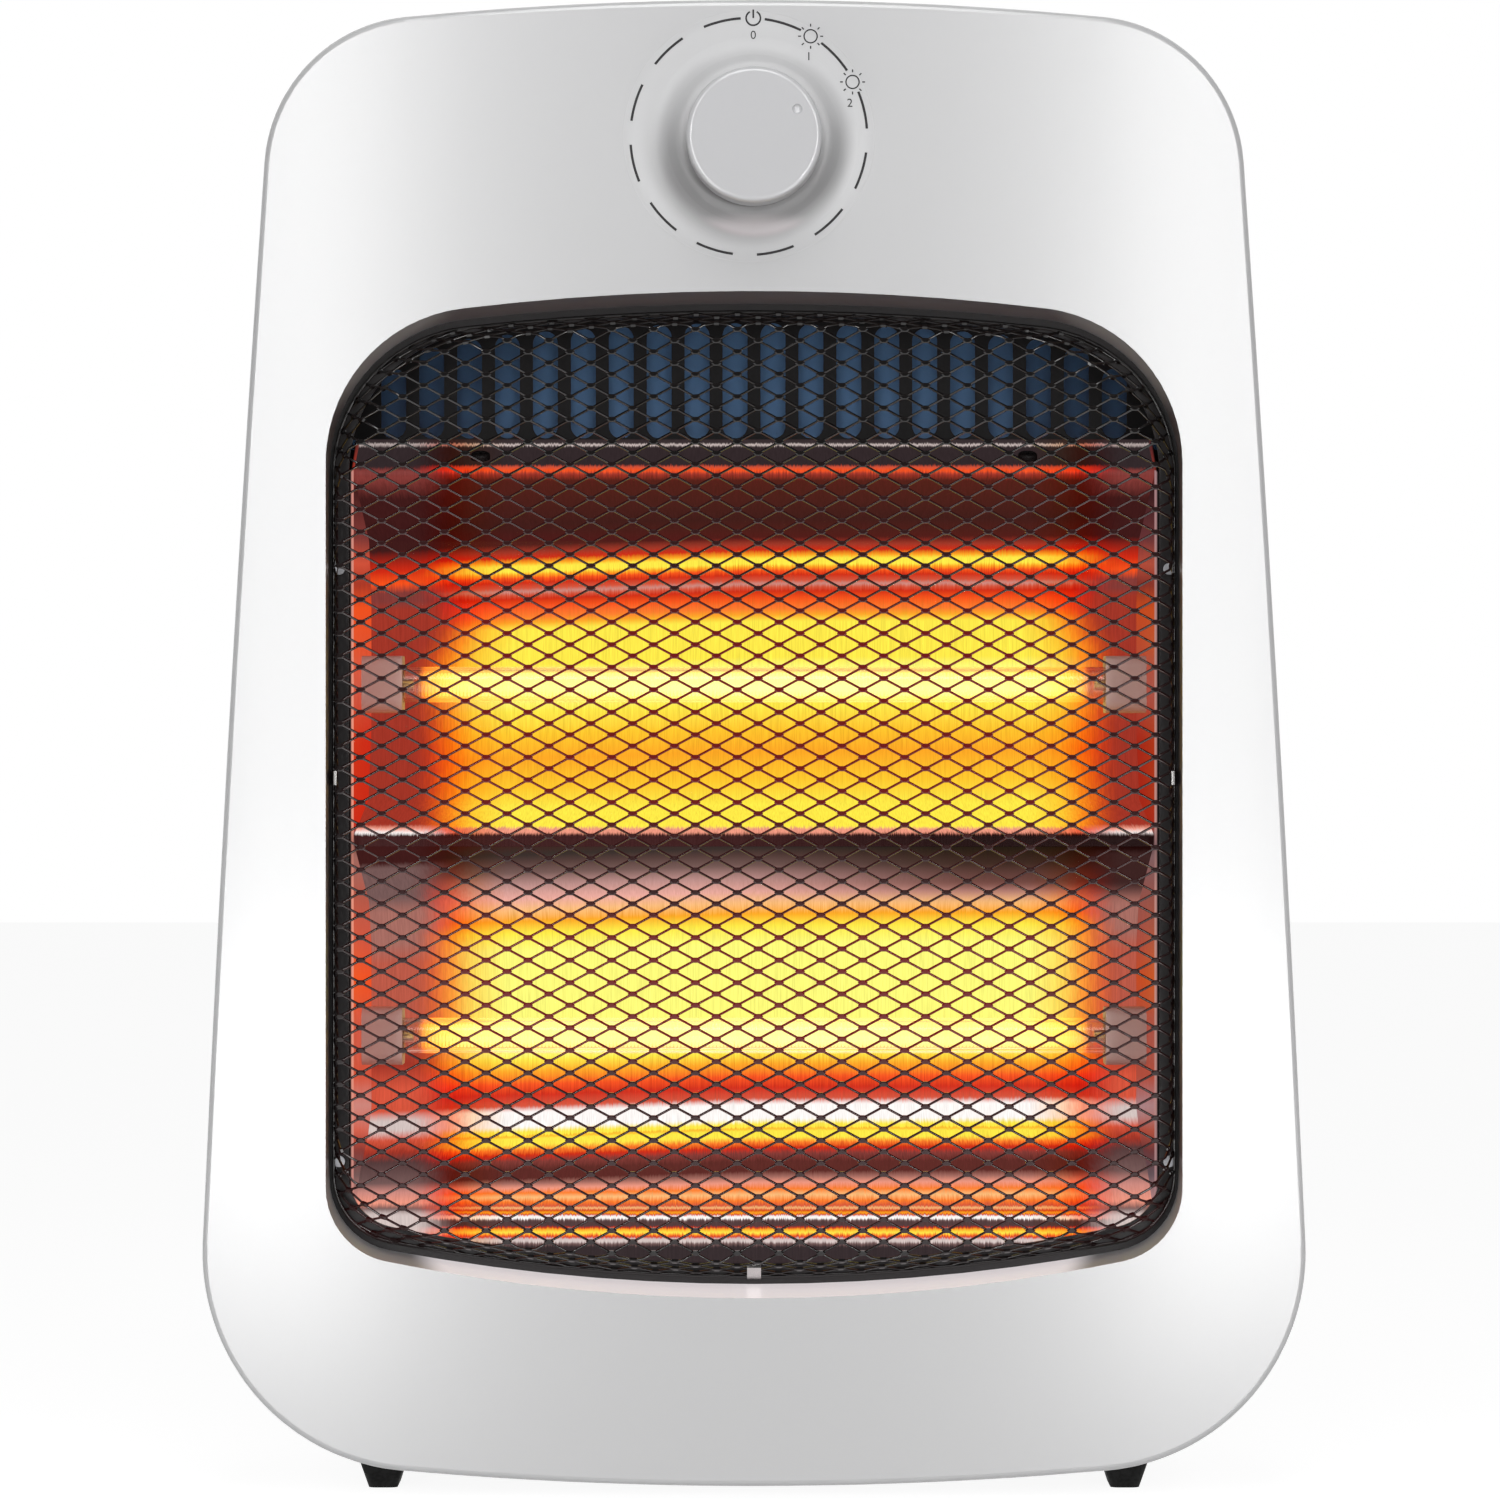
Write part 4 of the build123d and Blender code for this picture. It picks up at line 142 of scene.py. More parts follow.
def blend_colours(tree, factor, first, second, kind="MIX"):
    """Mixes two colours by a factor."""
    node = put(tree, "ShaderNodeMix", data_type="RGBA", blend_type=kind)
    for place, value in ((0, factor), (6, first), (7, second)):
        if isinstance(value, bpy.types.NodeSocket):
            tree.links.new(value, node.inputs[place])
        elif place == 0:
            node.inputs[0].default_value = value
        else:
            node.inputs[place].default_value = (*value[:3], 1)
    return node.outputs[2]


def shade(red, green, blue):
    """A colour as a screen shows it, 0 to 255, turned to the linear values of a shader."""
    parts = []
    for value in (red, green, blue):
        part = value / 255
        parts.append(part / 12.92 if part <= 0.04045 else ((part + 0.055) / 1.055) ** 2.4)
    return tuple(parts)


# %% [markdown]
# Three surface effects turn up on many pieces, so each is one shader group:
# the spark-eroded grain of a plastic mould, the long scratches of rolled or
# brushed sheet, and the slow drift of tone that keeps a large face from looking
# like flat paint. They read Object coordinates, so they stay on the piece.


# %% Shader groups
def effect_group(title, inputs, outputs):
    """An empty shader group with named sockets, and its coordinates."""
    group = bpy.data.node_groups.new(title, "ShaderNodeTree")
    for name, value in inputs:
        socket = group.interface.new_socket(name, in_out="INPUT", socket_type="NodeSocketFloat")
        socket.default_value = value
    for name in outputs:
        group.interface.new_socket(name, in_out="OUTPUT", socket_type="NodeSocketFloat")
    start = group.nodes.new("NodeGroupInput")
    end = group.nodes.new("NodeGroupOutput")
    place = group.nodes.new("ShaderNodeTexCoord").outputs["Object"]
    return group, start, end, place


def make_mould_grain():
    """Fine pits of a moulded surface. Size is the grain in millimetres."""
    group, start, end, place = effect_group(
        "mould_grain", [("Size", 0.5), ("Contrast", 1.0)], ["Height", "Mask"]
    )
    per_metre = sums(group, "DIVIDE", 1000.0, start.outputs["Size"])
    fine = put(group, "ShaderNodeTexNoise", {"Vector": place, "Scale": per_metre, "Detail": 3.0})
    wide = sums(group, "MULTIPLY", per_metre, 0.31)
    cells = put(group, "ShaderNodeTexVoronoi", {"Vector": place, "Scale": wide})
    both = sums(group, "ADD", fine.outputs[0], sums(group, "MULTIPLY", cells.outputs[0], 0.45))
    height = sums(group, "MULTIPLY", both, start.outputs["Contrast"])
    group.links.new(height, end.inputs["Height"])
    group.links.new(fade(group, both, 0.55, 1.0), end.inputs["Mask"])
    return group


def make_sheet_grain():
    """Scratches along Z. Width is a scratch's width and Length its length, in millimetres."""
    group, start, end, place = effect_group(
        "sheet_grain", [("Width", 0.12), ("Length", 6.0), ("Contrast", 1.0)], ["Height", "Streak"]
    )
    across = sums(group, "DIVIDE", 1000.0, start.outputs["Width"])
    along = sums(group, "DIVIDE", 1000.0, start.outputs["Length"])
    scale = put(group, "ShaderNodeCombineXYZ", {"X": across, "Y": along, "Z": along})
    stretched = put(group, "ShaderNodeVectorMath", {0: place, 1: scale.outputs[0]}, operation="MULTIPLY")
    lines = put(group, "ShaderNodeTexNoise", {"Vector": stretched.outputs[0], "Scale": 1.0, "Detail": 4.0})
    centred = sums(group, "SUBTRACT", lines.outputs[0], 0.5)
    contrast = sums(group, "MULTIPLY", centred, start.outputs["Contrast"])
    group.links.new(contrast, end.inputs["Height"])
    group.links.new(sums(group, "ADD", contrast, 0.5, clamp=True), end.inputs["Streak"])
    return group


def make_tone_drift():
    """A slow, soft change. Size is its width in millimetres, Amount its share either way."""
    group, start, end, place = effect_group(
        "tone_drift", [("Size", 60.0), ("Amount", 0.05)], ["Shade", "Mask"]
    )
    per_metre = sums(group, "DIVIDE", 1000.0, start.outputs["Size"])
    cloud = put(group, "ShaderNodeTexNoise", {"Vector": place, "Scale": per_metre, "Detail": 4.0})
    swing = sums(group, "MULTIPLY", sums(group, "SUBTRACT", cloud.outputs[0], 0.5), 2.0)
    shift = sums(group, "MULTIPLY", swing, start.outputs["Amount"])
    group.links.new(sums(group, "ADD", shift, 1.0), end.inputs["Shade"])
    group.links.new(fade(group, cloud.outputs[0], 0.35, 0.7), end.inputs["Mask"])
    return group


MOULD_GRAIN = make_mould_grain()
SHEET_GRAIN = make_sheet_grain()
TONE_DRIFT = make_tone_drift()
print("shader groups:", [group.name for group in bpy.data.node_groups])

# %% [markdown]
# A finish is a Principled shader whose colour, roughness and bump come from the
# groups. One function makes the plain ones: plastic, rubber, paint, metal and
# wire insulation differ in their numbers and in which grain they carry. Short
# helpers link what nearly every finish needs.


# %% Finishes that share a pattern
SCRATCH_SHAPE = 40
GLOSS_LEAST = 0.85
GLOSS_SPREAD = 0.3
GRAIN_STRENGTH = 0.6


def start_finish(title, **settings):
    """A material with an empty Principled shader. Settings go on its sockets."""
    finish = bpy.data.materials.new(title)
    finish.use_nodes = True
    tree = finish.node_tree
    tree.nodes.clear()
    shader = put(tree, "ShaderNodeBsdfPrincipled", {k.replace("_", " "): v for k, v in settings.items()})
    put(tree, "ShaderNodeOutputMaterial", {"Surface": shader.outputs[0]})
    return finish, tree, shader


def use(tree, group, **values):
    """Places a shader group with its own values."""
    node = tree.nodes.new("ShaderNodeGroup")
    node.node_tree = group
    for name, value in values.items():
        node.inputs[name].default_value = value
    return node


def object_axes(tree):
    """The object's own coordinates, split into X, Y and Z."""
    return put(tree, "ShaderNodeSeparateXYZ", {0: put(tree, "ShaderNodeTexCoord").outputs["Object"]})


def give_skin(tree, shader, base, rough):
    """Links the base colour and the roughness of a shader."""
    tree.links.new(base, shader.inputs["Base Color"])
    tree.links.new(rough, shader.inputs["Roughness"])


def give_relief(tree, shader, height, strength, distance):
    """Bumps a shader by a height pattern. Distance is in millimetres."""
    relief = put(tree, "ShaderNodeBump", {"Strength": strength, "Distance": distance * MM, "Height": height})
    tree.links.new(relief.outputs[0], shader.inputs["Normal"])


def give_light(tree, shader, colour, strength=1.0):
    """Lets a shader glow in a colour."""
    tree.links.new(colour, shader.inputs["Emission Color"])
    shader.inputs["Emission Strength"].default_value = strength


def plain_finish(title, colour, rough, grain="mould", size=0.5, bump=0.02, drift=0.06, drift_size=40.0,
                 **settings):
    """A finish with a drifting tone, a grain that changes its gloss, and a bump."""
    finish, tree, shader = start_finish(title, **settings)
    tone = use(tree, TONE_DRIFT, Size=drift_size, Amount=drift)
    if grain == "mould":
        pattern = use(tree, MOULD_GRAIN, Size=size)
        spread = pattern.outputs["Mask"]
    else:
        pattern = use(tree, SHEET_GRAIN, Width=size, Length=size * SCRATCH_SHAPE)
        spread = pattern.outputs["Streak"]
    base = blend_colours(tree, 1.0, colour, tone.outputs["Shade"], "MULTIPLY")
    gloss = sums(tree, "MULTIPLY_ADD", spread, rough * GLOSS_SPREAD, rough * GLOSS_LEAST)
    gloss = sums(tree, "MULTIPLY", gloss, tone.outputs["Shade"], clamp=True)
    give_skin(tree, shader, base, gloss)
    give_relief(tree, shader, pattern.outputs["Height"], GRAIN_STRENGTH, bump)
    return finish


FINISHES = {
    "casing_black": plain_finish("casing_black_plastic", shade(34, 33, 35), 0.5, size=0.45, bump=0.05,
                                 Specular_IOR_Level=0.35),
    "foot_black": plain_finish("foot_black_rubber", shade(20, 20, 20), 0.75, size=0.7, bump=0.04,
                               Specular_IOR_Level=0.2),
    "frame_black": plain_finish("frame_black_paint", shade(22, 17, 18), 0.38, size=0.3, bump=0.012,
                                Specular_IOR_Level=0.35),
    "baffle_black": plain_finish("baffle_black_paint", shade(11, 8, 9), 0.45, size=0.3, bump=0.012,
                                 Specular_IOR_Level=0.15),
    "screw_black": plain_finish("screw_black_oxide", shade(18, 13, 13), 0.6, size=0.2, bump=0.01,
                                Specular_IOR_Level=0.2),
    "shield_zinc": plain_finish("shield_zinc_coat", shade(80, 116, 156), 0.45, grain="sheet", size=0.4,
                                bump=0.01, drift=0.25, drift_size=30.0, Metallic=0.55),
    "ceramic_cap": plain_finish("cap_unglazed_ceramic", shade(196, 178, 170), 0.7, size=0.35, bump=0.04,
                                drift=0.1, drift_size=8.0),
    "brass": plain_finish("terminal_brass", shade(205, 170, 95), 0.3, grain="sheet", size=0.1,
                          bump=0.006, drift=0.12, drift_size=5.0, Metallic=1.0),
    "screw_steel": plain_finish("screw_zinc_plate", shade(188, 188, 192), 0.32, grain="sheet", size=0.09,
                                bump=0.006, drift=0.12, drift_size=3.0, Metallic=1.0),
    "spring_steel": plain_finish("spring_bright_steel", shade(196, 194, 192), 0.25, grain="sheet", size=0.08,
                                 bump=0.004, drift=0.1, drift_size=4.0, Metallic=1.0),
    "yoke_steel": plain_finish("yoke_zinc_plate", shade(180, 180, 182), 0.35, grain="sheet", size=0.1,
                               bump=0.006, drift=0.12, drift_size=6.0, Metallic=1.0),
    "switch_dark": plain_finish("switch_thermoset", shade(58, 44, 40), 0.45, size=0.3, bump=0.02),
    "switch_light": plain_finish("switch_cream_plastic", shade(226, 222, 206), 0.4, size=0.3, bump=0.02),
    "wire_brown": plain_finish("wire_brown_sleeve", shade(112, 70, 44), 0.42, size=0.2, bump=0.01),
    "wire_black": plain_finish("wire_black_sleeve", shade(40, 40, 42), 0.5, size=0.2, bump=0.02),
    "wire_blue": plain_finish("wire_blue_sleeve", shade(60, 110, 190), 0.42, size=0.2, bump=0.01),
}
print("plain finishes:", len(FINISHES))

# %% [markdown]
# The front panel is a glossy white moulding. Its gloss comes from a clear coat
# over a very slightly rippled skin, the orange peel of a large moulding. The knob
# is a shade greyer and less glossy, as handled plastic is, and the boss round it
# is less glossy too. Below the knob's foot the boss carries a painted shadow of
# the knob, a darker base colour. The lip of the window turns inwards. Its lower
# run faces up into the light of the tubes and gets a pale painted light, its
# rounded front edge a faint painted glow, and its other walls a painted shade, a
# darker base colour. Where each goes is found by the way the surface faces.

# %% White panel and grey knob
PANEL_WHITE = shade(187, 187, 188)
KNOB_GREY = shade(190, 190, 192)
WINDOW_CENTRE = (0.0, 173.4)
LIP_REACH = (142.0, 138.0)
LIP_FACING = (0.12, 0.4)
FACING_FRONT = (0.0, -0.5)
FACING_UP = (0.15, 0.55)
FACING_DOWN = (-0.15, -0.5)
# Painted light and painted shade on the window's lip.
LIP_EDGE_GLOW = (0.1, 0.05, 0.06)
LIP_TOP_GLOW = (0.19, 0.165, 0.17)
LIP_PAINTED_LIGHT = (1.15, 1.06, 1.08)
LIP_WALL_SHARE = 0.55
LIP_PAINTED_SHADE = (0.1, 0.08, 0.085)
BOSS_CENTRE = (-1.3, 333.5)
BOSS_EDGE = (31.0, 25.0)
# Rings and colour of the painted shadow of the knob on the boss.
KNOB_FOOT = (19.5, 16.4)
BOSS_FACE = (27.5, 21.0)
FOOT_SIDE = (344.0, 318.0)
FOOT_SHADOW_SHARE = 0.92
BOSS_SHADOW_SHARE = 0.62
PAINTED_KNOB_SHADOW = (0.06, 0.055, 0.055)
BOSS_COAT_LOSS = 0.85
BOSS_ROUGHER = 0.25


def glossy_moulding(title, colour, rough, coat, ripple):
    """A pale moulding whose gloss is tight in the plastic and broad in its skin."""
    finish, tree, shader = start_finish(title, Coat_Weight=coat, Coat_Roughness=0.4, Specular_IOR_Level=1.0)
    tone = use(tree, TONE_DRIFT, Size=90.0, Amount=0.012)
    skin = use(tree, TONE_DRIFT, Size=5.0, Amount=0.5)
    base = blend_colours(tree, 1.0, colour, tone.outputs["Shade"], "MULTIPLY")
    rough = sums(tree, "MULTIPLY", tone.outputs["Shade"], rough)
    give_skin(tree, shader, base, rough)
    give_relief(tree, shader, skin.outputs["Shade"], 0.25, ripple)
    return finish, tree, shader, base, rough


def lip_masks(tree, place):
    """How far a face turns towards the window, to the front, up and down."""
    facing = put(tree, "ShaderNodeSeparateXYZ", {0: put(tree, "ShaderNodeNewGeometry").outputs["Normal"]})
    across = sums(tree, "MULTIPLY_ADD", place.outputs["X"], -1000.0, WINDOW_CENTRE[0])
    rise = sums(tree, "MULTIPLY_ADD", place.outputs["Z"], -1000.0, WINDOW_CENTRE[1])
    inward = put(tree, "ShaderNodeCombineXYZ", {"X": across, "Z": rise})
    reach = put(tree, "ShaderNodeVectorMath", {0: inward.outputs[0]}, operation="LENGTH").outputs["Value"]
    inward = put(tree, "ShaderNodeVectorMath", {0: inward.outputs[0]}, operation="NORMALIZE")
    flat = put(tree, "ShaderNodeCombineXYZ", {"X": facing.outputs["X"], "Z": facing.outputs["Z"]})
    match = put(tree, "ShaderNodeVectorMath", {0: inward.outputs[0], 1: flat.outputs[0]},
                operation="DOT_PRODUCT")
    turned = fade(tree, match.outputs["Value"], *LIP_FACING)
    turned = sums(tree, "MULTIPLY", turned, fade(tree, reach, *LIP_REACH))
    forward = fade(tree, facing.outputs["Y"], *FACING_FRONT)
    upward = fade(tree, facing.outputs["Z"], *FACING_UP)
    return turned, forward, upward, fade(tree, facing.outputs["Z"], *FACING_DOWN)


def within(tree, distance, edges):
    """A mask that rises between two distances, given in millimetres."""
    return fade(tree, distance, *[edge * MM for edge in edges])


panel_finish, tree, shader, base, rough = glossy_moulding("panel_white_gloss", PANEL_WHITE, 0.27, 1.0, 0.01)
place = object_axes(tree)
turned, forward, upward, downward = lip_masks(tree, place)
# Painted light on the lip: a faint warm glow on its rounded front edge, grey where that edge faces down, and
# a pale glow where the lip faces up.
light = blend_colours(tree, downward, LIP_EDGE_GLOW, LIP_TOP_GLOW)
light = blend_colours(tree, sums(tree, "MULTIPLY", turned, forward), (0, 0, 0), light)
bright = sums(tree, "MULTIPLY_ADD", forward, 1.0 - LIP_WALL_SHARE, LIP_WALL_SHARE)
bright = sums(tree, "MULTIPLY", bright, sums(tree, "MULTIPLY", turned, upward))
light = blend_colours(tree, bright, light, LIP_PAINTED_LIGHT)
give_light(tree, shader, light)
# Painted shade: the lip's walls that face neither forward nor up get a darker base colour.
wall = sums(tree, "MULTIPLY", turned, sums(tree, "SUBTRACT", 1.0, forward))
wall = sums(tree, "MULTIPLY", wall, sums(tree, "SUBTRACT", 1.0, upward))
base = blend_colours(tree, wall, base, LIP_PAINTED_SHADE)
from_boss = put(tree, "ShaderNodeCombineXYZ", {
    "X": sums(tree, "SUBTRACT", place.outputs["X"], BOSS_CENTRE[0] * MM),
    "Z": sums(tree, "SUBTRACT", place.outputs["Z"], BOSS_CENTRE[1] * MM)})
distance = put(tree, "ShaderNodeVectorMath", {0: from_boss.outputs[0]}, operation="LENGTH").outputs["Value"]
handled = within(tree, distance, BOSS_EDGE)
coat = sums(tree, "MULTIPLY_ADD", handled, -BOSS_COAT_LOSS, 1.0)
tree.links.new(coat, shader.inputs["Coat Weight"])
# Painted shadow of the knob: the boss's base colour darkens in a ring near the knob and a wider one on its
# face, on the lower side only.
foot = sums(tree, "MULTIPLY", within(tree, distance, KNOB_FOOT), FOOT_SHADOW_SHARE)
face = sums(tree, "MULTIPLY", within(tree, distance, BOSS_FACE), BOSS_SHADOW_SHARE)
low_side = within(tree, place.outputs["Z"], FOOT_SIDE)
shaded = sums(tree, "MULTIPLY", sums(tree, "MAXIMUM", foot, face), low_side)
base = blend_colours(tree, shaded, base, PAINTED_KNOB_SHADOW)
give_skin(tree, shader, base, sums(tree, "MULTIPLY_ADD", handled, BOSS_ROUGHER, rough))
FINISHES["panel_white"] = panel_finish
FINISHES["knob_grey"] = glossy_moulding("knob_grey_satin", KNOB_GREY, 0.22, 0.5, 0.01)[0]

# %% [markdown]
# The earth lead is green with a yellow stripe that winds round it. A wave along
# the length stands for the stripe.

# %% Earth lead
earth, tree, shader = start_finish("wire_green_yellow_sleeve", Roughness=0.42)
place = put(tree, "ShaderNodeTexCoord").outputs["Object"]
bands = put(tree, "ShaderNodeTexWave", {"Vector": place, "Scale": 90.0, "Distortion": 0.4},
            bands_direction="DIAGONAL")
stripe = ramp(tree, bands.outputs["Fac"], [(0.52, shade(74, 134, 52)), (0.6, shade(214, 196, 60))])
tree.links.new(stripe, shader.inputs["Base Color"])
give_relief(tree, shader, use(tree, MOULD_GRAIN, Size=0.2).outputs["Height"], 0.4, 0.01)
FINISHES["wire_green"] = earth

# %% [markdown]
# The guard is glossy black paint on steel. Where it hangs in front of the yellow
# parts of the troughs it shows a dull red, and hardly any beside them. That light
# is a faint emission in the finish, set by the place on the guard and so fixed to
# it. It could be left to the glow behind, but few of those rays come this way.

# %% Guard paint
BRIGHT_SPANS = ((109.0, 143.0), (167.0, 219.0))
REFLECTOR_SPAN = (66.0, 252.0)
RED_EDGE = 6.0
RED_HALF = 74.0
RED_FADE = 10.0
WARM_EDGE = (104.0, 94.0)
WARM_LIGHT = shade(44, 9, 9)
HOT_LIGHT = shade(108, 5, 3)


def red_span(tree, height, low, high):
    """A mask that is 1 between two heights, in millimetres."""
    above = fade(tree, height, low - RED_EDGE, low + RED_EDGE)
    below = fade(tree, height, high + RED_EDGE, high - RED_EDGE)
    return sums(tree, "MULTIPLY", above, below)


guard_paint, tree, shader = start_finish("guard_black_paint", Specular_IOR_Level=0.6)
axes = object_axes(tree)
across = sums(tree, "MULTIPLY", sums(tree, "ABSOLUTE", axes.outputs["X"]), 1000.0)
height = sums(tree, "MULTIPLY", axes.outputs["Z"], 1000.0)
bright = [red_span(tree, height, *span) for span in BRIGHT_SPANS]
hot = sums(tree, "MAXIMUM", bright[0], bright[1])
hot = sums(tree, "MULTIPLY", hot, fade(tree, across, RED_HALF + RED_FADE, RED_HALF - RED_FADE))
warm = sums(tree, "MULTIPLY", red_span(tree, height, *REFLECTOR_SPAN), fade(tree, across, *WARM_EDGE))
tone = use(tree, TONE_DRIFT, Size=3.0, Amount=0.2)
hot = sums(tree, "MULTIPLY", hot, tone.outputs["Shade"])
light = blend_colours(tree, warm, (0, 0, 0), WARM_LIGHT)
give_light(tree, shader, blend_colours(tree, hot, light, HOT_LIGHT))
pattern = use(tree, MOULD_GRAIN, Size=0.25)
base = blend_colours(tree, pattern.outputs["Mask"], shade(11, 6, 6), shade(6, 3, 3))
give_skin(tree, shader, base, sums(tree, "MULTIPLY_ADD", pattern.outputs["Mask"], 0.04, 0.09))
give_relief(tree, shader, pattern.outputs["Height"], 0.4, 0.004)
FINISHES["guard_black"] = guard_paint

# %% [markdown]
# The reflector is the heart of the picture. Each fold of the bright sheet mirrors
# the glowing tubes as a band from dark red to pale yellow. Tracing those mirror
# images would need far more samples than a picture of a small part deserves, so
# the bands are painted as a glow: a colour ramp over the height at which each fold
# is seen from the front. The upright brushing of the sheet breaks their edges up.

# %% Colours of the glow
EYE_HEIGHT = 184.0
EYE_REACH = 1500.0
RIM_DEPTH = 12.0
GLOW = {
    "char": shade(50, 40, 42),
    "soot": shade(82, 58, 58),
    "umber": shade(60, 25, 25),
    "ember": shade(80, 27, 25),
    "brick": shade(130, 58, 54),
    "cocoa": shade(92, 40, 38),
    "salmon": shade(184, 88, 70),
    "peach": shade(252, 190, 124),
    "rust": shade(160, 52, 38),
    "clay": shade(212, 84, 60),
    "red": shade(208, 42, 20),
    "scarlet": shade(246, 82, 28),
    "orange": shade(252, 125, 42),
    "gold": shade(254, 168, 36),
    "amber": shade(255, 200, 46),
    "yellow": shade(255, 234, 72),
    "lemon": shade(255, 252, 122),
    "taupe": shade(165, 108, 98),
    "rose": shade(205, 138, 128),
    "mauve": shade(188, 142, 138),
    "petal": shade(236, 172, 160),
    "pink": shade(238, 152, 130),
    "ash": shade(116, 88, 86),
    "pearl": shade(212, 196, 192),
    "white": shade(255, 250, 247),
}
print("colours of the glow:", len(GLOW))

# %% Bands of the upper and the lower sheet
UPPER_BANDS = [
    (262.0, "char"), (259.5, "char"), (259.1, "pearl"), (258.6, "char"), (254.2, "char"),
    (253.6, "clay"), (252.8, "scarlet"), (252.0, "rust"), (250.4, "ember"), (241.0, "umber"),
    (236.4, "ember"), (234.6, "rust"), (233.2, "red"), (232.0, "gold"), (231.2, "yellow"),
    (229.9, "yellow"), (229.2, "gold"), (228.3, "scarlet"), (227.2, "red"), (225.8, "clay"),
    (225.0, "rose"), (224.2, "clay"), (223.2, "red"), (221.4, "scarlet"), (218.8, "orange"),
    (217.4, "gold"), (215.8, "yellow"), (207.0, "yellow"), (204.4, "lemon"), (199.0, "lemon"),
    (195.6, "yellow"), (190.0, "amber"), (184.0, "gold"), (177.0, "amber"), (171.0, "yellow"),
    (165.6, "yellow"), (164.9, "pink"), (164.1, "pink"), (163.4, "umber"), (160.0, "umber"),
]
LOWER_BANDS = [
    (163.4, "umber"), (160.4, "char"), (158.6, "soot"), (156.0, "ash"), (152.9, "mauve"),
    (149.6, "petal"), (146.8, "peach"), (144.2, "gold"), (141.2, "yellow"), (136.8, "lemon"),
    (112.0, "lemon"), (110.2, "yellow"), (107.4, "gold"), (104.2, "scarlet"), (101.6, "red"),
    (98.8, "clay"), (97.4, "white"), (93.8, "white"), (92.6, "yellow"), (91.8, "yellow"),
    (91.4, "gold"), (90.9, "yellow"), (89.4, "yellow"), (88.1, "orange"), (86.8, "red"),
    (85.4, "brick"), (83.4, "cocoa"), (81.0, "cocoa"), (79.6, "taupe"), (78.2, "pink"),
    (76.6, "orange"), (75.2, "peach"), (73.8, "orange"), (72.5, "clay"), (72.0, "peach"),
    (71.4, "red"), (70.8, "gold"), (70.3, "red"), (69.9, "white"), (69.4, "white"), (69.0, "ash"),
    (68.6, "soot"), (67.5, "soot"), (67.1, "red"), (66.7, "gold"), (65.9, "yellow"),
    (65.3, "orange"), (64.8, "red"), (64.3, "pearl"), (63.7, "pearl"), (63.2, "ash"),
    (62.4, "char"), (58.0, "char"),
]
UPPER_ENDS = [
    (262.0, "char"), (259.5, "char"), (259.1, "pearl"), (258.6, "char"), (253.6, "char"),
    (252.8, "brick"), (250.8, "brick"), (246.0, "umber"), (236.0, "umber"), (231.0, "red"),
    (228.0, "scarlet"), (225.8, "brick"), (223.6, "brick"), (221.6, "rust"), (166.0, "rust"),
    (165.0, "pink"), (163.9, "white"), (163.2, "umber"), (160.0, "umber"),
]
LOWER_ENDS = [
    (163.4, "umber"), (159.6, "umber"), (158.2, "ash"), (151.0, "ash"), (147.5, "taupe"),
    (140.0, "taupe"), (135.0, "salmon"), (122.0, "salmon"), (110.0, "rust"), (104.0, "clay"),
    (98.6, "clay"), (96.2, "pearl"), (94.0, "pearl"), (91.6, "clay"), (88.6, "rust"),
    (86.2, "soot"), (80.6, "ash"), (77.4, "rose"), (73.6, "pink"), (71.8, "ash"), (70.2, "pearl"),
    (66.2, "pearl"), (64.4, "clay"), (63.0, "char"), (58.0, "char"),
]
print("bands painted:", len(UPPER_BANDS), "and", len(LOWER_BANDS))

# %% [markdown]
# A colour ramp holds 32 stops, so a long list of bands is laid on two ramps. The
# coils hang a little out of level, as in the photograph, and the bands lean with
# them. Past the ends of the coils yellow cools to orange and red, and the rest of
# the sheet shows duller bands of its own. Under the middle fold the right side of
# the lower sheet mirrors the dark of the trough, so the glow is shaded there.

# %% Glow by height
RAMP_STOPS = 32
GLOW_MIDDLE = 3.2
LEAN_LEFT = 0.034
LEAN_RIGHT = 0.005
TOP_EDGE = (248.0, 236.0)
FOLD_SHADE = (0.24, 0.17, 0.17)
FOLD_SHADE_HEIGHT = (145.5, 152.0)
FOLD_SHADE_TOP = (164.5, 163.0)
FOLD_SHADE_ACROSS = (-22.0, 62.0)
COOLING = [
    (64.0, (1, 1, 1)), (72.0, (1, 0.72, 0.5)), (77.0, (0.97, 0.34, 0.2)), (82.0, (0.9, 0.15, 0.08)),
    (87.0, (0.6, 0.07, 0.04)),
]


def by_height(tree, height, bands):
    """Colours over a height in millimetres, from a list of (height, name)."""
    if len(bands) > RAMP_STOPS:
        middle = len(bands) // 2
        upper = by_height(tree, height, bands[:middle + 1])
        lower = by_height(tree, height, bands[middle:])
        return blend_colours(tree, sums(tree, "GREATER_THAN", height, bands[middle][0]), lower, upper)
    low, high = bands[-1][0], bands[0][0]
    factor = put(tree, "ShaderNodeMapRange", {"Value": height, "From Min": low, "From Max": high}).outputs[0]
    return ramp(tree, factor, [((level - low) / (high - low), GLOW[name]) for level, name in bands])


def seen_from_front(tree, place):
    """Where a point of the object is seen from the front: x and height, in millimetres."""
    axes = put(tree, "ShaderNodeSeparateXYZ", {0: place})
    depth = sums(tree, "MULTIPLY_ADD", axes.outputs["Y"], 1000.0, -FRONT_PLANE - RIM_DEPTH + EYE_REACH)
    shrink = sums(tree, "DIVIDE", EYE_REACH, depth)
    rise = sums(tree, "MULTIPLY_ADD", axes.outputs["Z"], 1000.0, -EYE_HEIGHT)
    across = sums(tree, "MULTIPLY", sums(tree, "MULTIPLY", axes.outputs["X"], 1000.0), shrink)
    return across, sums(tree, "MULTIPLY_ADD", rise, shrink, EYE_HEIGHT)


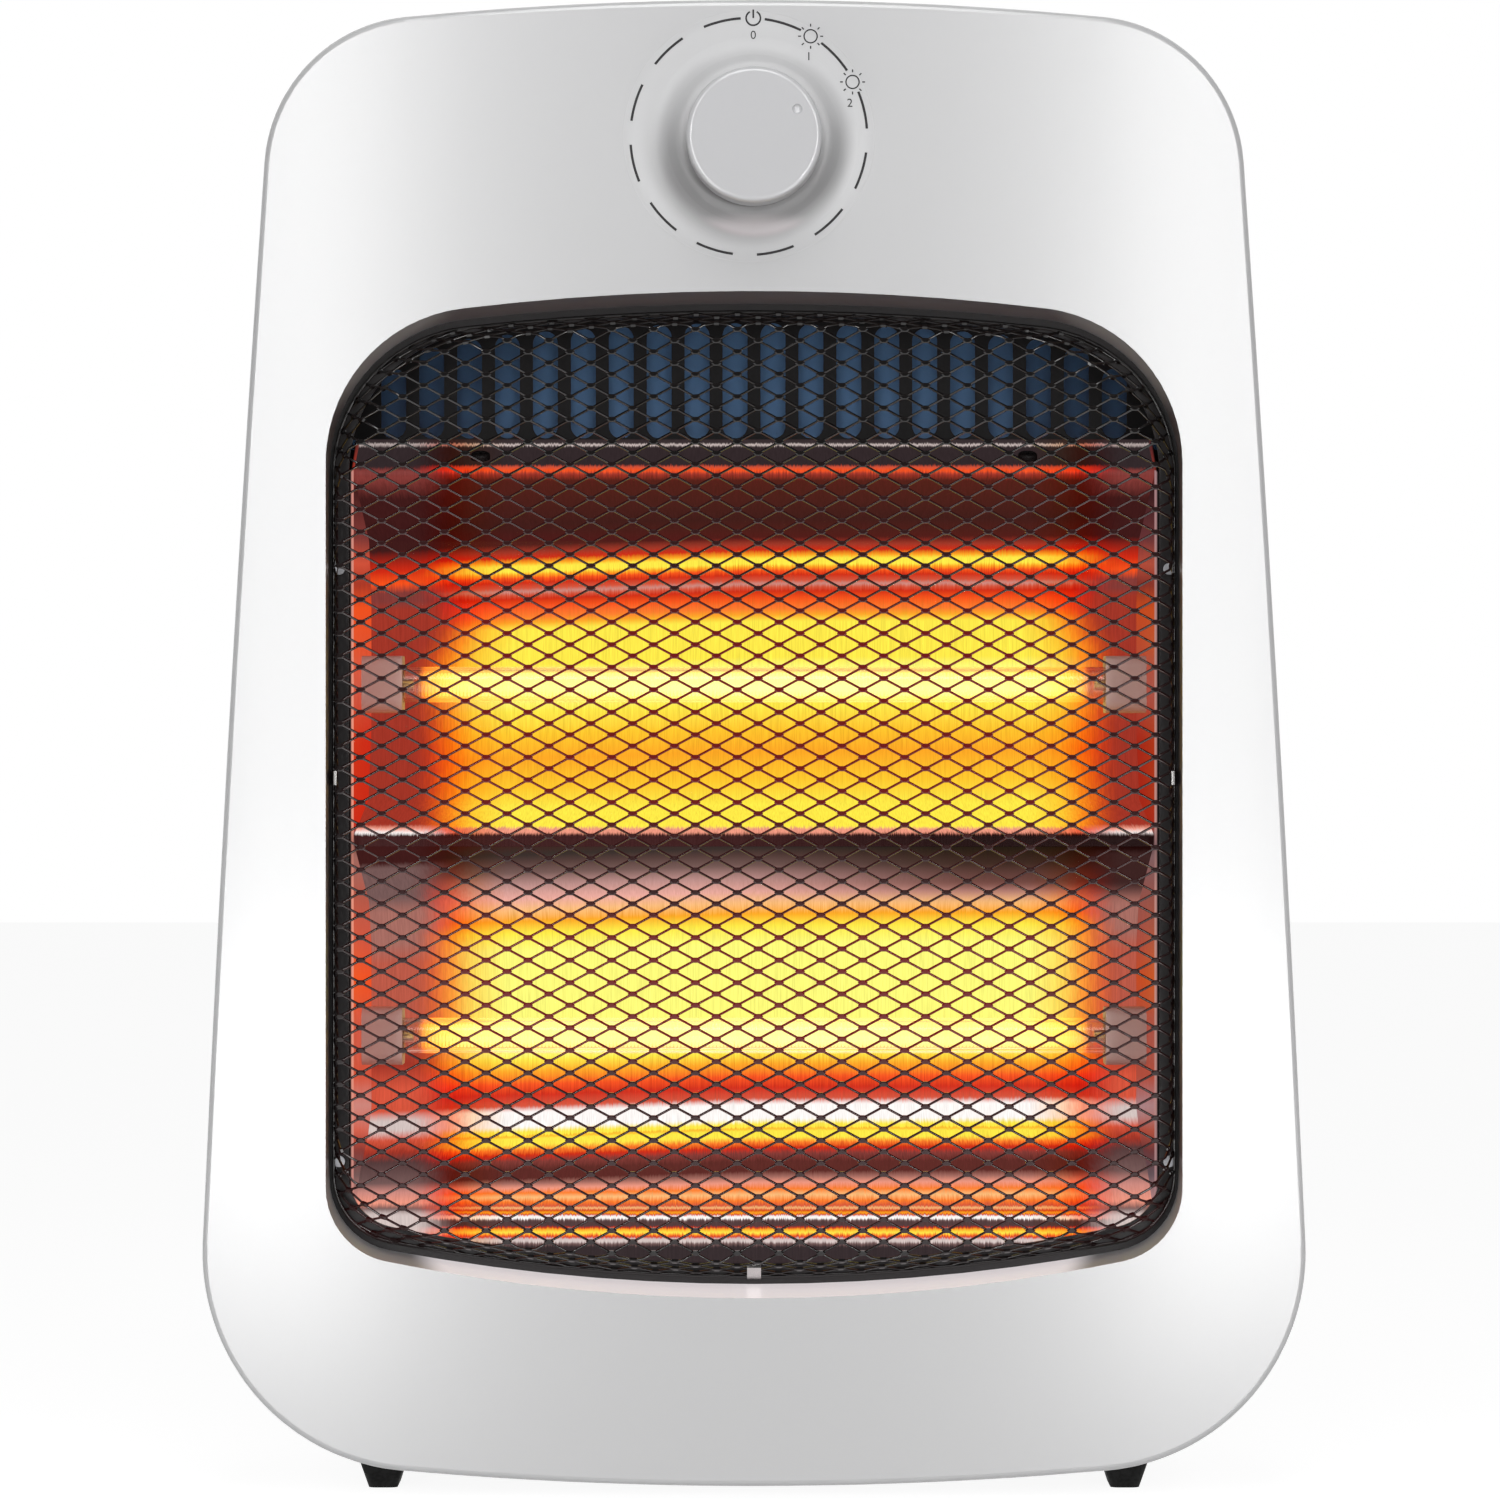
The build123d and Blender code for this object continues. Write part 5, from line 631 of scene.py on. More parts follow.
def leaning(tree, across, height, level_from, leant_from):
    """The height, with the lean of the coils where the sheet is away from its straight edges."""
    left = sums(tree, "MULTIPLY", sums(tree, "MINIMUM", across, 0.0), -LEAN_LEFT)
    right = sums(tree, "MULTIPLY", sums(tree, "MAXIMUM", across, 0.0), -LEAN_RIGHT)
    share = sums(tree, "MULTIPLY", fade(tree, height, level_from, leant_from), fade(tree, height, *TOP_EDGE))
    return sums(tree, "MULTIPLY_ADD", sums(tree, "ADD", left, right), share, height)


# %% Reflector glow
BAND_SHIFT = 1.1
END_SHIFT = 4.0
END_FADE = (76.0, 88.0)
BRUSH_LIGHT = 0.45
SHEET_ROUGH_LEAST = 0.3
SHEET_ROUGH_SPREAD = 0.2


def brushed_sheet(tree, shader, brushing, dark, pale, strength):
    """Base colour, roughness and bump of bright sheet, from its brushing."""
    streak = brushing.outputs["Streak"]
    rough = sums(tree, "MULTIPLY_ADD", streak, SHEET_ROUGH_SPREAD, SHEET_ROUGH_LEAST)
    give_skin(tree, shader, blend_colours(tree, streak, dark, pale), rough)
    give_relief(tree, shader, brushing.outputs["Height"], strength, 0.01)


def glow_finish(title, bands, end_bands, straight_edge, corner, tuck_by):
    """A brushed reflector that carries the bands, level near straight_edge and leaning elsewhere.
    Between the heights of corner the glow is shorter by tuck_by, which rounds its brightest field."""
    finish, tree, shader = start_finish(title, Metallic=0.9, Specular_IOR_Level=0.1,
                                        Specular_Tint=(0, 0, 0, 1))
    place = put(tree, "ShaderNodeTexCoord").outputs["Object"]
    across, height = seen_from_front(tree, place)
    brushing = use(tree, SHEET_GRAIN, Width=0.22, Length=7.0, Contrast=1.6)
    fine = use(tree, SHEET_GRAIN, Width=0.5, Length=3.0, Contrast=1.0)
    height = leaning(tree, across, height, *straight_edge)
    height = sums(tree, "MULTIPLY_ADD", brushing.outputs["Height"], BAND_SHIFT, height)
    middle = sums(tree, "ABSOLUTE", sums(tree, "SUBTRACT", across, GLOW_MIDDLE))
    ends = sums(tree, "MULTIPLY_ADD", fine.outputs["Height"], END_SHIFT, middle)
    tuck = sums(tree, "MULTIPLY", fade(tree, height, *corner[:2]), fade(tree, height, *corner[2:]))
    ends = sums(tree, "MULTIPLY_ADD", tuck, tuck_by, ends)
    hot_end, cold_end = COOLING[0][0], COOLING[-1][0]
    span = put(tree, "ShaderNodeMapRange", {"Value": ends, "From Min": hot_end, "From Max": cold_end})
    stops = [((at - hot_end) / (cold_end - hot_end), colour) for at, colour in COOLING]
    cooling = ramp(tree, span.outputs[0], stops)
    whole = blend_colours(tree, 1.0, by_height(tree, height, bands), cooling, "MULTIPLY")
    whole = blend_colours(tree, fade(tree, ends, *END_FADE), whole, by_height(tree, height, end_bands))
    shaded = fade(tree, across, *FOLD_SHADE_ACROSS)
    for edges in (FOLD_SHADE_HEIGHT, FOLD_SHADE_TOP):
        shaded = sums(tree, "MULTIPLY", shaded, fade(tree, height, *edges))
    whole = blend_colours(tree, shaded, whole, FOLD_SHADE, "MULTIPLY")
    brightness = sums(tree, "MULTIPLY_ADD", brushing.outputs["Height"], BRUSH_LIGHT, 1.0)
    give_light(tree, shader, blend_colours(tree, 1.0, whole, brightness, "MULTIPLY"))
    brushed_sheet(tree, shader, brushing, shade(17, 15, 15), shade(27, 24, 24), 0.5)
    return finish


UPPER_GLOW = glow_finish("upper_reflector_glow", UPPER_BANDS, UPPER_ENDS, straight_edge=(165.0, 174.0),
                         corner=(207.0, 217.0, 227.0, 220.0), tuck_by=4.0)
LOWER_GLOW = glow_finish("lower_reflector_glow", LOWER_BANDS, LOWER_ENDS, straight_edge=(71.0, 80.0),
                         corner=(140.0, 145.0, 152.0, 147.0), tuck_by=1.5)
print("reflector sheets painted:", UPPER_GLOW.name, "and", LOWER_GLOW.name)

# %% [markdown]
# The side plates close the troughs. They are the same bright sheet, seen almost
# edge on, and their mirror images of the glow are painted as emission like the
# reflector's bands: orange red beside the tubes, grey near the folds, and a
# painted highlight on their cut front edge as a thin pink line. The right plate's
# painted glow is dimmer and less red, and the plates' outer faces get none.

# %% Side plate glow
PLATE_INSIDE = (99.2, 99.6)
PLATE_FRONT = (24.6, 24.1)
RIGHT_PLATE_GLOW_TINT = (0.6, 0.8, 1.0)
PLATE_GLOW = 0.9
PLATE_SHIFT = 1.5
WALL_BANDS = [
    (262.0, "char"), (254.0, "rust"), (248.0, "umber"), (236.0, "brick"), (230.0, "clay"),
    (225.0, "rust"), (219.0, "scarlet"), (200.0, "clay"), (186.0, "red"), (166.0, "red"),
    (163.0, "umber"), (158.0, "taupe"), (148.0, "salmon"), (138.0, "clay"), (128.0, "scarlet"),
    (116.0, "clay"), (104.0, "clay"), (97.0, "rose"), (91.0, "clay"), (86.0, "brick"),
    (80.0, "ash"), (74.0, "rose"), (68.0, "pearl"), (62.0, "char"),
]
EDGE_BANDS = [
    (262.0, "char"), (254.0, "rose"), (200.0, "pink"), (166.0, "pink"), (161.0, "taupe"),
    (150.0, "pink"), (110.0, "pink"), (80.0, "rose"), (66.0, "rose"), (62.0, "char"),
]
side_glow, tree, shader = start_finish("side_plate_glow", Metallic=0.6, Specular_IOR_Level=0.1,
                                       Specular_Tint=(0, 0, 0, 1))
place = put(tree, "ShaderNodeTexCoord").outputs["Object"]
height = seen_from_front(tree, place)[1]
axes = put(tree, "ShaderNodeSeparateXYZ", {0: place})
depth = sums(tree, "MULTIPLY_ADD", axes.outputs["Y"], 1000.0, -FRONT_PLANE)
out = sums(tree, "MULTIPLY", sums(tree, "ABSOLUTE", axes.outputs["X"]), 1000.0)
brushing = use(tree, SHEET_GRAIN, Width=0.4, Length=9.0, Contrast=1.2)
height = sums(tree, "MULTIPLY_ADD", brushing.outputs["Height"], PLATE_SHIFT, height)
front = fade(tree, depth, *PLATE_FRONT)
walls = by_height(tree, height, WALL_BANDS)
walls = blend_colours(tree, front, walls, by_height(tree, height, EDGE_BANDS))
# The plates' outer faces get no painted glow, and the right plate's painted glow is dimmer and less red.
walls = blend_colours(tree, fade(tree, out, *PLATE_INSIDE), walls, (0, 0, 0))
on_right = sums(tree, "GREATER_THAN", axes.outputs["X"], 0.0)
walls = blend_colours(tree, on_right, walls, RIGHT_PLATE_GLOW_TINT, "MULTIPLY")
give_light(tree, shader, walls, PLATE_GLOW)
brushed_sheet(tree, shader, brushing, shade(26, 23, 23), shade(44, 40, 40), 0.4)
FINISHES["side_bright"] = side_glow

# %% [markdown]
# A quartz tube is clear. The light of the coil that its wall carries is painted
# on it as a faint glow, where the coil is, that fades towards the ends. The coil
# itself is oxidised resistance wire at yellow heat.

# %% Tubes and coils
COIL_HALF = 86.0
COIL_STRENGTH = 1.05
TUBE_PAINTED_GLOW = [
    (0.0, (0.17, 0.14, 0.05)), (60.0, (0.17, 0.13, 0.04)), (72.0, (0.22, 0.12, 0.02)),
    (79.0, (0.3, 0.13, 0.01)), (83.0, (0.28, 0.07, 0.0)), (84.5, (0.01, 0.0, 0.0)),
    (100.0, (0.0, 0.0, 0.0)),
]
COIL_HEAT = [
    (0.0, (1.0, 1.0, 0.34)), (72.0, (1.0, 0.98, 0.26)), (78.0, (1.0, 0.8, 0.12)),
    (82.5, (1.0, 0.5, 0.05)), (85.0, (0.5, 0.08, 0.02)), (100.0, (0.05, 0.01, 0.01)),
]


def glow_along(tree, stops):
    """Light colours over the distance from the middle of a tube, in millimetres: the coil's own glow, or the
    painted glow of the tube wall.
    """
    last = stops[-1][0]
    reach = sums(tree, "MULTIPLY", sums(tree, "ABSOLUTE", object_axes(tree).outputs["X"]), 1000.0 / last)
    colours = ramp(tree, reach, [(at / last, colour) for at, colour in stops])
    drift = use(tree, TONE_DRIFT, Size=12.0, Amount=0.05)
    return blend_colours(tree, 1.0, colours, drift.outputs["Shade"], "MULTIPLY"), drift


quartz, tree, shader = start_finish("quartz_glass", Roughness=0.1, Transmission_Weight=0.95, IOR=1.46,
                                    Specular_IOR_Level=0.2)
# The tube wall's faint glow is painted light, an emission that fades along the tube.
glow_colours, drift = glow_along(tree, TUBE_PAINTED_GLOW)
give_light(tree, shader, glow_colours)
glass = blend_colours(tree, drift.outputs["Mask"], shade(255, 250, 238), shade(246, 238, 224))
tree.links.new(glass, shader.inputs["Base Color"])
FINISHES["quartz"] = quartz

glowing, tree, shader = start_finish("coil_yellow_heat", Metallic=0.6, Roughness=0.7)
glow_colours, drift = glow_along(tree, COIL_HEAT)
give_light(tree, shader, glow_colours, COIL_STRENGTH)
oxide = blend_colours(tree, drift.outputs["Mask"], shade(60, 40, 30), shade(45, 30, 24))
tree.links.new(oxide, shader.inputs["Base Color"])
FINISHES["coil_glow"] = glowing

# %% [markdown]
# Every node of the frame gets the finish of its own material slot. A few differ:
# the two reflector sheets in their bands, the vent baffle in a duller black, and
# the screws near the heat in black oxide, which doesn't peel as zinc does.

# %% Dress the nodes
OWN_FINISH = {
    "upper_reflector": UPPER_GLOW,
    "lower_reflector": LOWER_GLOW,
    "vent_baffle": FINISHES["baffle_black"],
    "ledge_screws": FINISHES["screw_black"],
    "frame_screws": FINISHES["screw_black"],
    "baffle_screws": FINISHES["screw_black"],
}
slot_of = {name: piece.data.materials[0].name for name, piece in nodes.items()}
for name, piece in nodes.items():
    piece.data.materials.clear()
    piece.data.materials.append(OWN_FINISH.get(name) or FINISHES[slot_of[name]])
print("nodes dressed:", len(slot_of))

# %% [markdown]
# The pieces that repeat are grown by Geometry Nodes. Each tree is built here, run
# on a small base mesh, and its result is kept as a plain mesh, because the export
# wants real triangles and no live modifiers.


# %% Helpers for geometry trees
def new_tree(title, sizes):
    """A geometry tree with named inputs, and its two end nodes."""
    tree = bpy.data.node_groups.new(title, "GeometryNodeTree")
    tree.interface.new_socket("Geometry", in_out="INPUT", socket_type="NodeSocketGeometry")
    for name, kind in sizes:
        tree.interface.new_socket(name, in_out="INPUT", socket_type="NodeSocket" + kind)
    tree.interface.new_socket("Geometry", in_out="OUTPUT", socket_type="NodeSocketGeometry")
    return tree, tree.nodes.new("NodeGroupInput"), tree.nodes.new("NodeGroupOutput")


def close_tree(tree, start, end, geometry):
    """Ends a tree with real geometry and its finish."""
    solid = put(tree, "GeometryNodeRealizeInstances", {0: geometry})
    painted = put(tree, "GeometryNodeSetMaterial",
                  {"Geometry": solid.outputs[0], "Material": start.outputs["Finish"]})
    tree.links.new(painted.outputs[0], end.inputs["Geometry"])


def base_mesh(title, points, edges=(), faces=()):
    """An object with a plain mesh, in metres, at the origin."""
    mesh = bpy.data.meshes.new(title)
    mesh.from_pydata([tuple(point) for point in points], list(edges), list(faces))
    piece = bpy.data.objects.new(title, mesh)
    bpy.context.scene.collection.objects.link(piece)
    return piece


def grow(piece, tree, **values):
    """Runs a tree on a piece and keeps the result as its mesh."""
    modifier = piece.modifiers.new("growth", "NODES")
    modifier.node_group = tree
    for item in tree.interface.items_tree:
        if item.in_out == "INPUT" and item.name in values:
            modifier[item.identifier] = values[item.name]
    bpy.context.view_layer.update()
    ready = bpy.context.evaluated_depsgraph_get()
    mesh = bpy.data.meshes.new_from_object(piece.evaluated_get(ready), depsgraph=ready)
    piece.modifiers.clear()
    piece.data = mesh
    mesh.calc_loop_triangles()
    print(piece.name, "triangles:", len(mesh.loop_triangles))
    return piece


def settle(piece, slot, *replaced, body=HEATER):
    """Puts a finished piece on its body and hides the nodes it stands for. The slot is not used."""
    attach(piece, body)
    if replaced:
        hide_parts(*replaced)
    return piece


# %% [markdown]
# The guard is expanded metal: one sheet is slit and pulled, so that it opens into
# diamonds of narrow strands that stay joined at thick knots. It could be drawn as
# a woven net or a pattern with holes, but then the strands would lie flat. Here
# the diamond lattice is laid out flat, cut at the rim, and folded back along the
# guard's own outline, which is read from the solid. Each strand becomes a leaning
# ribbon and each knot a small bevelled block.

# %% Outline of the guard, read from the solid
NET_PITCH_X = 10.245
NET_PITCH_Z = 5.516
NET_START = (-4.12, 171.4)
PLANE_PLAY = 0.05

net_points = np.array([vertex.co for vertex in nodes["guard_mesh"].data.vertices]) / MM
NET_FRONT = float(net_points[:, 1].min())
NET_REAR = float(net_points[:, 1].max())


def outline_at(depth):
    """The convex outline of the guard's points at one depth, as (x, z), counter-clockwise."""
    near = net_points[np.abs(net_points[:, 1] - depth) < PLANE_PLAY]
    points = sorted({(round(x, 3), round(z, 3)) for x, _, z in near})

    def half(sequence):
        chain = []
        for point in sequence:
            while len(chain) > 1:
                (ax, az), (bx, bz) = chain[-2:]
                if (bx - ax) * (point[1] - az) - (bz - az) * (point[0] - ax) > 0:
                    break
                chain.pop()
            chain.append(point)
        return chain[:-1]

    return np.array(half(points) + half(points[::-1]))


front_loop = outline_at(NET_FRONT)
rear_loop = outline_at(NET_REAR)
print("guard outline:", len(front_loop), "corners in front,", len(rear_loop), "behind")


# %% Fold a flat point round the outline
PARALLEL = 1e-9
CORNER_PLAY = 1e-6


def nearest(loop, point):
    """The nearest place on a loop, and how far outside it the point lies."""
    step = np.roll(loop, -1, 0) - loop
    share = np.clip(((point - loop) * step).sum(1) / (step ** 2).sum(1), 0, 1)
    spots = loop + step * share[:, None]
    gaps = np.hypot(*(point - spots).T)
    best = int(gaps.argmin())
    cross = step[:, 0] * (point - loop)[:, 1] - step[:, 1] * (point - loop)[:, 0]
    side = 1 if (cross < 0).any() else -1
    return spots[best], side * gaps[best]


def across_to(loop, start, way):
    """How far it is from start, along way, to a loop that lies round it."""
    step = np.roll(loop, -1, 0) - loop
    offset = loop - start
    det = way[0] * step[:, 1] - way[1] * step[:, 0]
    det = np.where(np.abs(det) < PARALLEL, PARALLEL, det)
    far = (offset[:, 0] * step[:, 1] - offset[:, 1] * step[:, 0]) / det
    share = (offset[:, 0] * way[1] - offset[:, 1] * way[0]) / det
    hits = far[(share > -CORNER_PLAY) & (share < 1 + CORNER_PLAY) & (far > 0)]
    return float(hits.min())


def fold(point):
    """A flat point's place on the guard, how far down the wall it is, and two directions there."""
    spot, gap = nearest(front_loop, point)
    if gap <= 0:
        return (point[0], NET_FRONT, point[1]), 0.0, (0, -1, 0), (1, 0, 0)
    way = (point - spot) / gap
    run = across_to(rear_loop, spot, way)
    drop = NET_REAR - NET_FRONT
    length = math.hypot(run, drop)
    share = gap / length
    place = (spot[0] + way[0] * run * share, NET_FRONT + drop * share, spot[1] + way[1] * run * share)
    down = np.array((way[0] * run, drop, way[1] * run)) / length
    out = np.array((way[0] * drop, -run, way[1] * drop)) / length
    tangent = np.array((-way[1], 0.0, way[0]))
    along = down * way[0] + tangent * -way[1]
    return place, share, tuple(out), tuple(along)


# %% Lay out the strands and knots
FOLD_STEPS = 24
FLAT_MARGIN = 6.0
NET_COLUMNS = 24
NET_ROWS = 60
NET_REACH = 22.0
LAST_KNOT = 0.93


def strand(first, second, reach):
    """The places of one strand from knot to knot, folded, and cut off at the rim."""
    if reach < -FLAT_MARGIN:
        return [(point[0], NET_FRONT, point[1]) for point in (first, second)]
    flat = [first + (second - first) * k / FOLD_STEPS for k in range(FOLD_STEPS + 1)]
    folded = [fold(point) for point in flat]
    kept = [k for k, item in enumerate(folded) if item[1] <= 1]
    if len(kept) < 2:
        return []
    bends = {kept[0], kept[-1]}
    for k in kept[:-1]:
        if (folded[k][1] == 0) != (folded[k + 1][1] == 0):
            bends.add(k if folded[k][1] == 0 else k + 1)
    return [folded[k][0] for k in sorted(bends)]


columns = range(-NET_COLUMNS, NET_COLUMNS + 1)
rows = range(-NET_ROWS, NET_ROWS)
half_pitch = np.array((NET_PITCH_X, NET_PITCH_Z)) / 2
knot_places, knot_faces, knot_ways = [], [], []
strand_points, strand_edges = [], []
for column in columns:
    for row in rows:
        if (column + row) % 2:
            continue
        flat = np.array(NET_START) + half_pitch * (column, row)
        reach = nearest(front_loop, flat)[1]
        if reach > NET_REACH:
            continue
        place, share, face, way = fold(flat)
        if share < LAST_KNOT:
            knot_places.append(place)
            knot_faces.append(face)
            knot_ways.append(way)
        for turn in (1, -1):
            run = strand(flat, flat + half_pitch * (1, turn), reach)
            for k, point in enumerate(run):
                if k:
                    strand_edges.append((len(strand_points) - 1, len(strand_points)))
                strand_points.append(point)
print("knots:", len(knot_places), "strands:", len(strand_points) - len(strand_edges))

# %% [markdown]
# The tree takes the lattice as edges and loose points. Edges become ribbons by
# Curve to Mesh, tilted so that one face looks up and forward, as slit metal's
# does, and takes the light from above as a thin bright stripe. Points receive the
# knot block, turned to face outwards from the sheet.

# %% Guard net tree
net_tree, start, end = new_tree("guard_net_tree", [
    ("Strand Width", "Float"), ("Strand Thickness", "Float"), ("Lean", "Float"), ("Knot", "Object"),
    ("Finish", "Material"),
])
is_knot = put(net_tree, "GeometryNodeInputNamedAttribute", {"Name": "knot"}, data_type="BOOLEAN").outputs[0]
lines = put(net_tree, "GeometryNodeMeshToCurve", {"Mesh": start.outputs["Geometry"]})
upright = put(net_tree, "GeometryNodeSetCurveNormal", {"Curve": lines.outputs[0]}, mode="Z_UP")
tilted = put(net_tree, "GeometryNodeSetCurveTilt",
             {"Curve": upright.outputs[0], "Tilt": start.outputs["Lean"]})
section = put(net_tree, "GeometryNodeCurvePrimitiveQuadrilateral",
              {"Width": start.outputs["Strand Width"], "Height": start.outputs["Strand Thickness"]})
ribbons = put(net_tree, "GeometryNodeCurveToMesh",
              {"Curve": tilted.outputs[0], "Profile Curve": section.outputs[0], "Fill Caps": True})
block = put(net_tree, "GeometryNodeObjectInfo", {"Object": start.outputs["Knot"]})
face = put(net_tree, "GeometryNodeInputNamedAttribute", {"Name": "face"}, data_type="FLOAT_VECTOR").outputs[0]
way = put(net_tree, "GeometryNodeInputNamedAttribute", {"Name": "way"}, data_type="FLOAT_VECTOR").outputs[0]
back = put(net_tree, "ShaderNodeVectorMath", {0: face, "Scale": -1.0}, operation="SCALE").outputs[0]
turned = put(net_tree, "FunctionNodeAxesToRotation", {0: way, 1: back}, primary_axis="X", secondary_axis="Y")
knots = put(net_tree, "GeometryNodeInstanceOnPoints",
            {"Points": start.outputs["Geometry"], "Selection": is_knot, "Instance": block.outputs["Geometry"],
             "Rotation": turned.outputs[0]})
joined = put(net_tree, "GeometryNodeJoinGeometry")
net_tree.links.new(knots.outputs[0], joined.inputs[0])
net_tree.links.new(ribbons.outputs[0], joined.inputs[0])
close_tree(net_tree, start, end, joined.outputs[0])

# %% Knot block
KNOT_HALF_LENGTH = 1.25
KNOT_HALF_HEIGHT = 0.64
KNOT_HALF_DEPTH = 0.42
KNOT_BEVEL = 0.4
KNOT_BEVEL_DEPTH = 0.22
KNOT_BEVEL_SHARE = 0.7
CORNERS = 6


def hexagon(bevel, depth):
    """Six corners, longest along X, at one depth."""
    length, height = KNOT_HALF_LENGTH - bevel, KNOT_HALF_HEIGHT - bevel * KNOT_BEVEL_SHARE
    ring = ((-length, 0), (-length / 2, -height), (length / 2, -height), (length, 0), (length / 2, height),
            (-length / 2, height))
    return [Vector((x, depth, z)) * MM for x, z in ring]


knot_rings = (hexagon(KNOT_BEVEL, -KNOT_HALF_DEPTH) + hexagon(0, -KNOT_HALF_DEPTH + KNOT_BEVEL_DEPTH)
              + hexagon(0, KNOT_HALF_DEPTH))
knot_sides = [tuple(range(CORNERS)), tuple(reversed(range(2 * CORNERS, 3 * CORNERS)))]
for ring in (0, CORNERS):
    for k in range(CORNERS):
        after = (k + 1) % CORNERS
        knot_sides.append((ring + k, ring + CORNERS + k, ring + CORNERS + after, ring + after))
knot_block = base_mesh("knot_block", knot_rings, faces=knot_sides)

# %% Grow the guard net
STRAND_WIDTH = 0.26
STRAND_THICKNESS = 0.54
LEAN = math.radians(-29)

net = base_mesh(
    "guard_net",
    [Vector(point) * MM for point in strand_points + knot_places],
    edges=strand_edges,
)
knot_flags = np.array([False] * len(strand_points) + [True] * len(knot_places))
net.data.attributes.new("knot", "BOOLEAN", "POINT").data.foreach_set("value", knot_flags)
for title, values in (("face", knot_faces), ("way", knot_ways)):
    filled = np.vstack([np.zeros((len(strand_points), 3)), np.array(values)])
    net.data.attributes.new(title, "FLOAT_VECTOR", "POINT").data.foreach_set("vector", filled.ravel())
grow(net, net_tree, Lean=LEAN, Knot=knot_block, Finish=FINISHES["guard_black"],
     **{"Strand Width": STRAND_WIDTH * MM, "Strand Thickness": STRAND_THICKNESS * MM})
bpy.data.objects.remove(knot_block)
settle(net, "guard_black", "guard_mesh")

# %% [markdown]
# The cut edge of the guard is folded into a thin rim that lies on the black
# frame. It is the same ribbon, run once round the rear outline.

# %% Guard rim
RIM_WIDTH = 1.3
RIM_THICKNESS = 0.7
rim_tree, start, end = new_tree("rim_tree", [
    ("Width", "Float"), ("Thickness", "Float"), ("Finish", "Material"),
])
lines = put(rim_tree, "GeometryNodeMeshToCurve", {"Mesh": start.outputs["Geometry"]})
section = put(rim_tree, "GeometryNodeCurvePrimitiveQuadrilateral",
              {"Width": start.outputs["Width"], "Height": start.outputs["Thickness"]})
hoop = put(rim_tree, "GeometryNodeCurveToMesh",
           {"Curve": lines.outputs[0], "Profile Curve": section.outputs[0]})
close_tree(rim_tree, start, end, hoop.outputs[0])
count = len(rear_loop)
rim = base_mesh(
    "guard_rim",
    [(x * MM, (NET_REAR - RIM_WIDTH / 2) * MM, z * MM) for x, z in rear_loop],
    edges=[(k, (k + 1) % count) for k in range(count)],
)
grow(rim, rim_tree, Width=RIM_WIDTH * MM, Thickness=RIM_THICKNESS * MM, Finish=FINISHES["guard_black"])
settle(rim, "guard_black")

# %% [markdown]
# A heating coil is resistance wire wound close and even, far closer than the
# open spring that stands for it in the solids. A spiral curve with a round
# section makes it, nearly turn against turn.

# %% Heating coils
COIL_TURNS = 190
COIL_R = 2.75
WIRE_R = 0.3
TURN_STEPS = 12
WIRE_SIDES = 6
TUBE_AXES = {"upper": 200.8, "lower": 112.0}
TUBE_DEPTH = 59.9
coil_tree, start, end = new_tree("coil_tree", [
    ("Turns", "Float"), ("Radius", "Float"), ("Length", "Float"), ("Wire Radius", "Float"),
    ("Place", "Vector"), ("Finish", "Material"),
])
helix = put(coil_tree, "GeometryNodeCurveSpiral",
            {"Resolution": TURN_STEPS, "Rotations": start.outputs["Turns"],
             "Start Radius": start.outputs["Radius"], "End Radius": start.outputs["Radius"],
             "Height": start.outputs["Length"]})
section = put(coil_tree, "GeometryNodeCurvePrimitiveCircle",
              {"Resolution": WIRE_SIDES, "Radius": start.outputs["Wire Radius"]}, mode="RADIUS")
wire = put(coil_tree, "GeometryNodeCurveToMesh",
           {"Curve": helix.outputs[0], "Profile Curve": section.outputs[0], "Fill Caps": True})
laid = put(coil_tree, "GeometryNodeTransform",
           {"Geometry": wire.outputs[0], "Translation": start.outputs["Place"],
            "Rotation": (0.0, math.radians(90), 0.0)})
smooth = put(coil_tree, "GeometryNodeSetShadeSmooth", {0: laid.outputs[0]})
close_tree(coil_tree, start, end, smooth.outputs[0])
for level, height in TUBE_AXES.items():
    coil = base_mesh(level + "_fine_coil", [(0, 0, 0)])
    coil_start = Vector((-COIL_HALF + WIRE_R, FRONT_PLANE + TUBE_DEPTH, height)) * MM
    grow(coil, coil_tree, Turns=float(COIL_TURNS), Radius=COIL_R * MM,
         Length=2 * (COIL_HALF - WIRE_R) * MM, Place=coil_start, Finish=FINISHES["coil_glow"],
         **{"Wire Radius": WIRE_R * MM})
    settle(coil, "coil_glow", level + "_heating_coil")

# %% [markdown]
# The dial is printed on the panel: twelve dashes round the knob, a mark for off
# and two small suns for the two heats, each with a plain number under it. A mark
# is a thin flat shape. One tree repeats it round a centre and presses it onto the
# crowned panel, so the print follows the surface.

# %% Print tree
PRINT_LIFT = 0.03
PRINT_THICKNESS = 0.06
PROBE_LENGTH = 3.0
DIAL_CENTRE = BOSS_CENTRE
DIAL_R = 28.8
INK_WIDTH = 0.6
ink, tree, shader = start_finish("dial_ink", Specular_IOR_Level=0.3)
tone = use(tree, TONE_DRIFT, Size=3.0, Amount=0.2)
base = blend_colours(tree, 1.0, shade(40, 38, 40), tone.outputs["Shade"], "MULTIPLY")
give_skin(tree, shader, base, sums(tree, "MULTIPLY", tone.outputs["Shade"], 0.4))

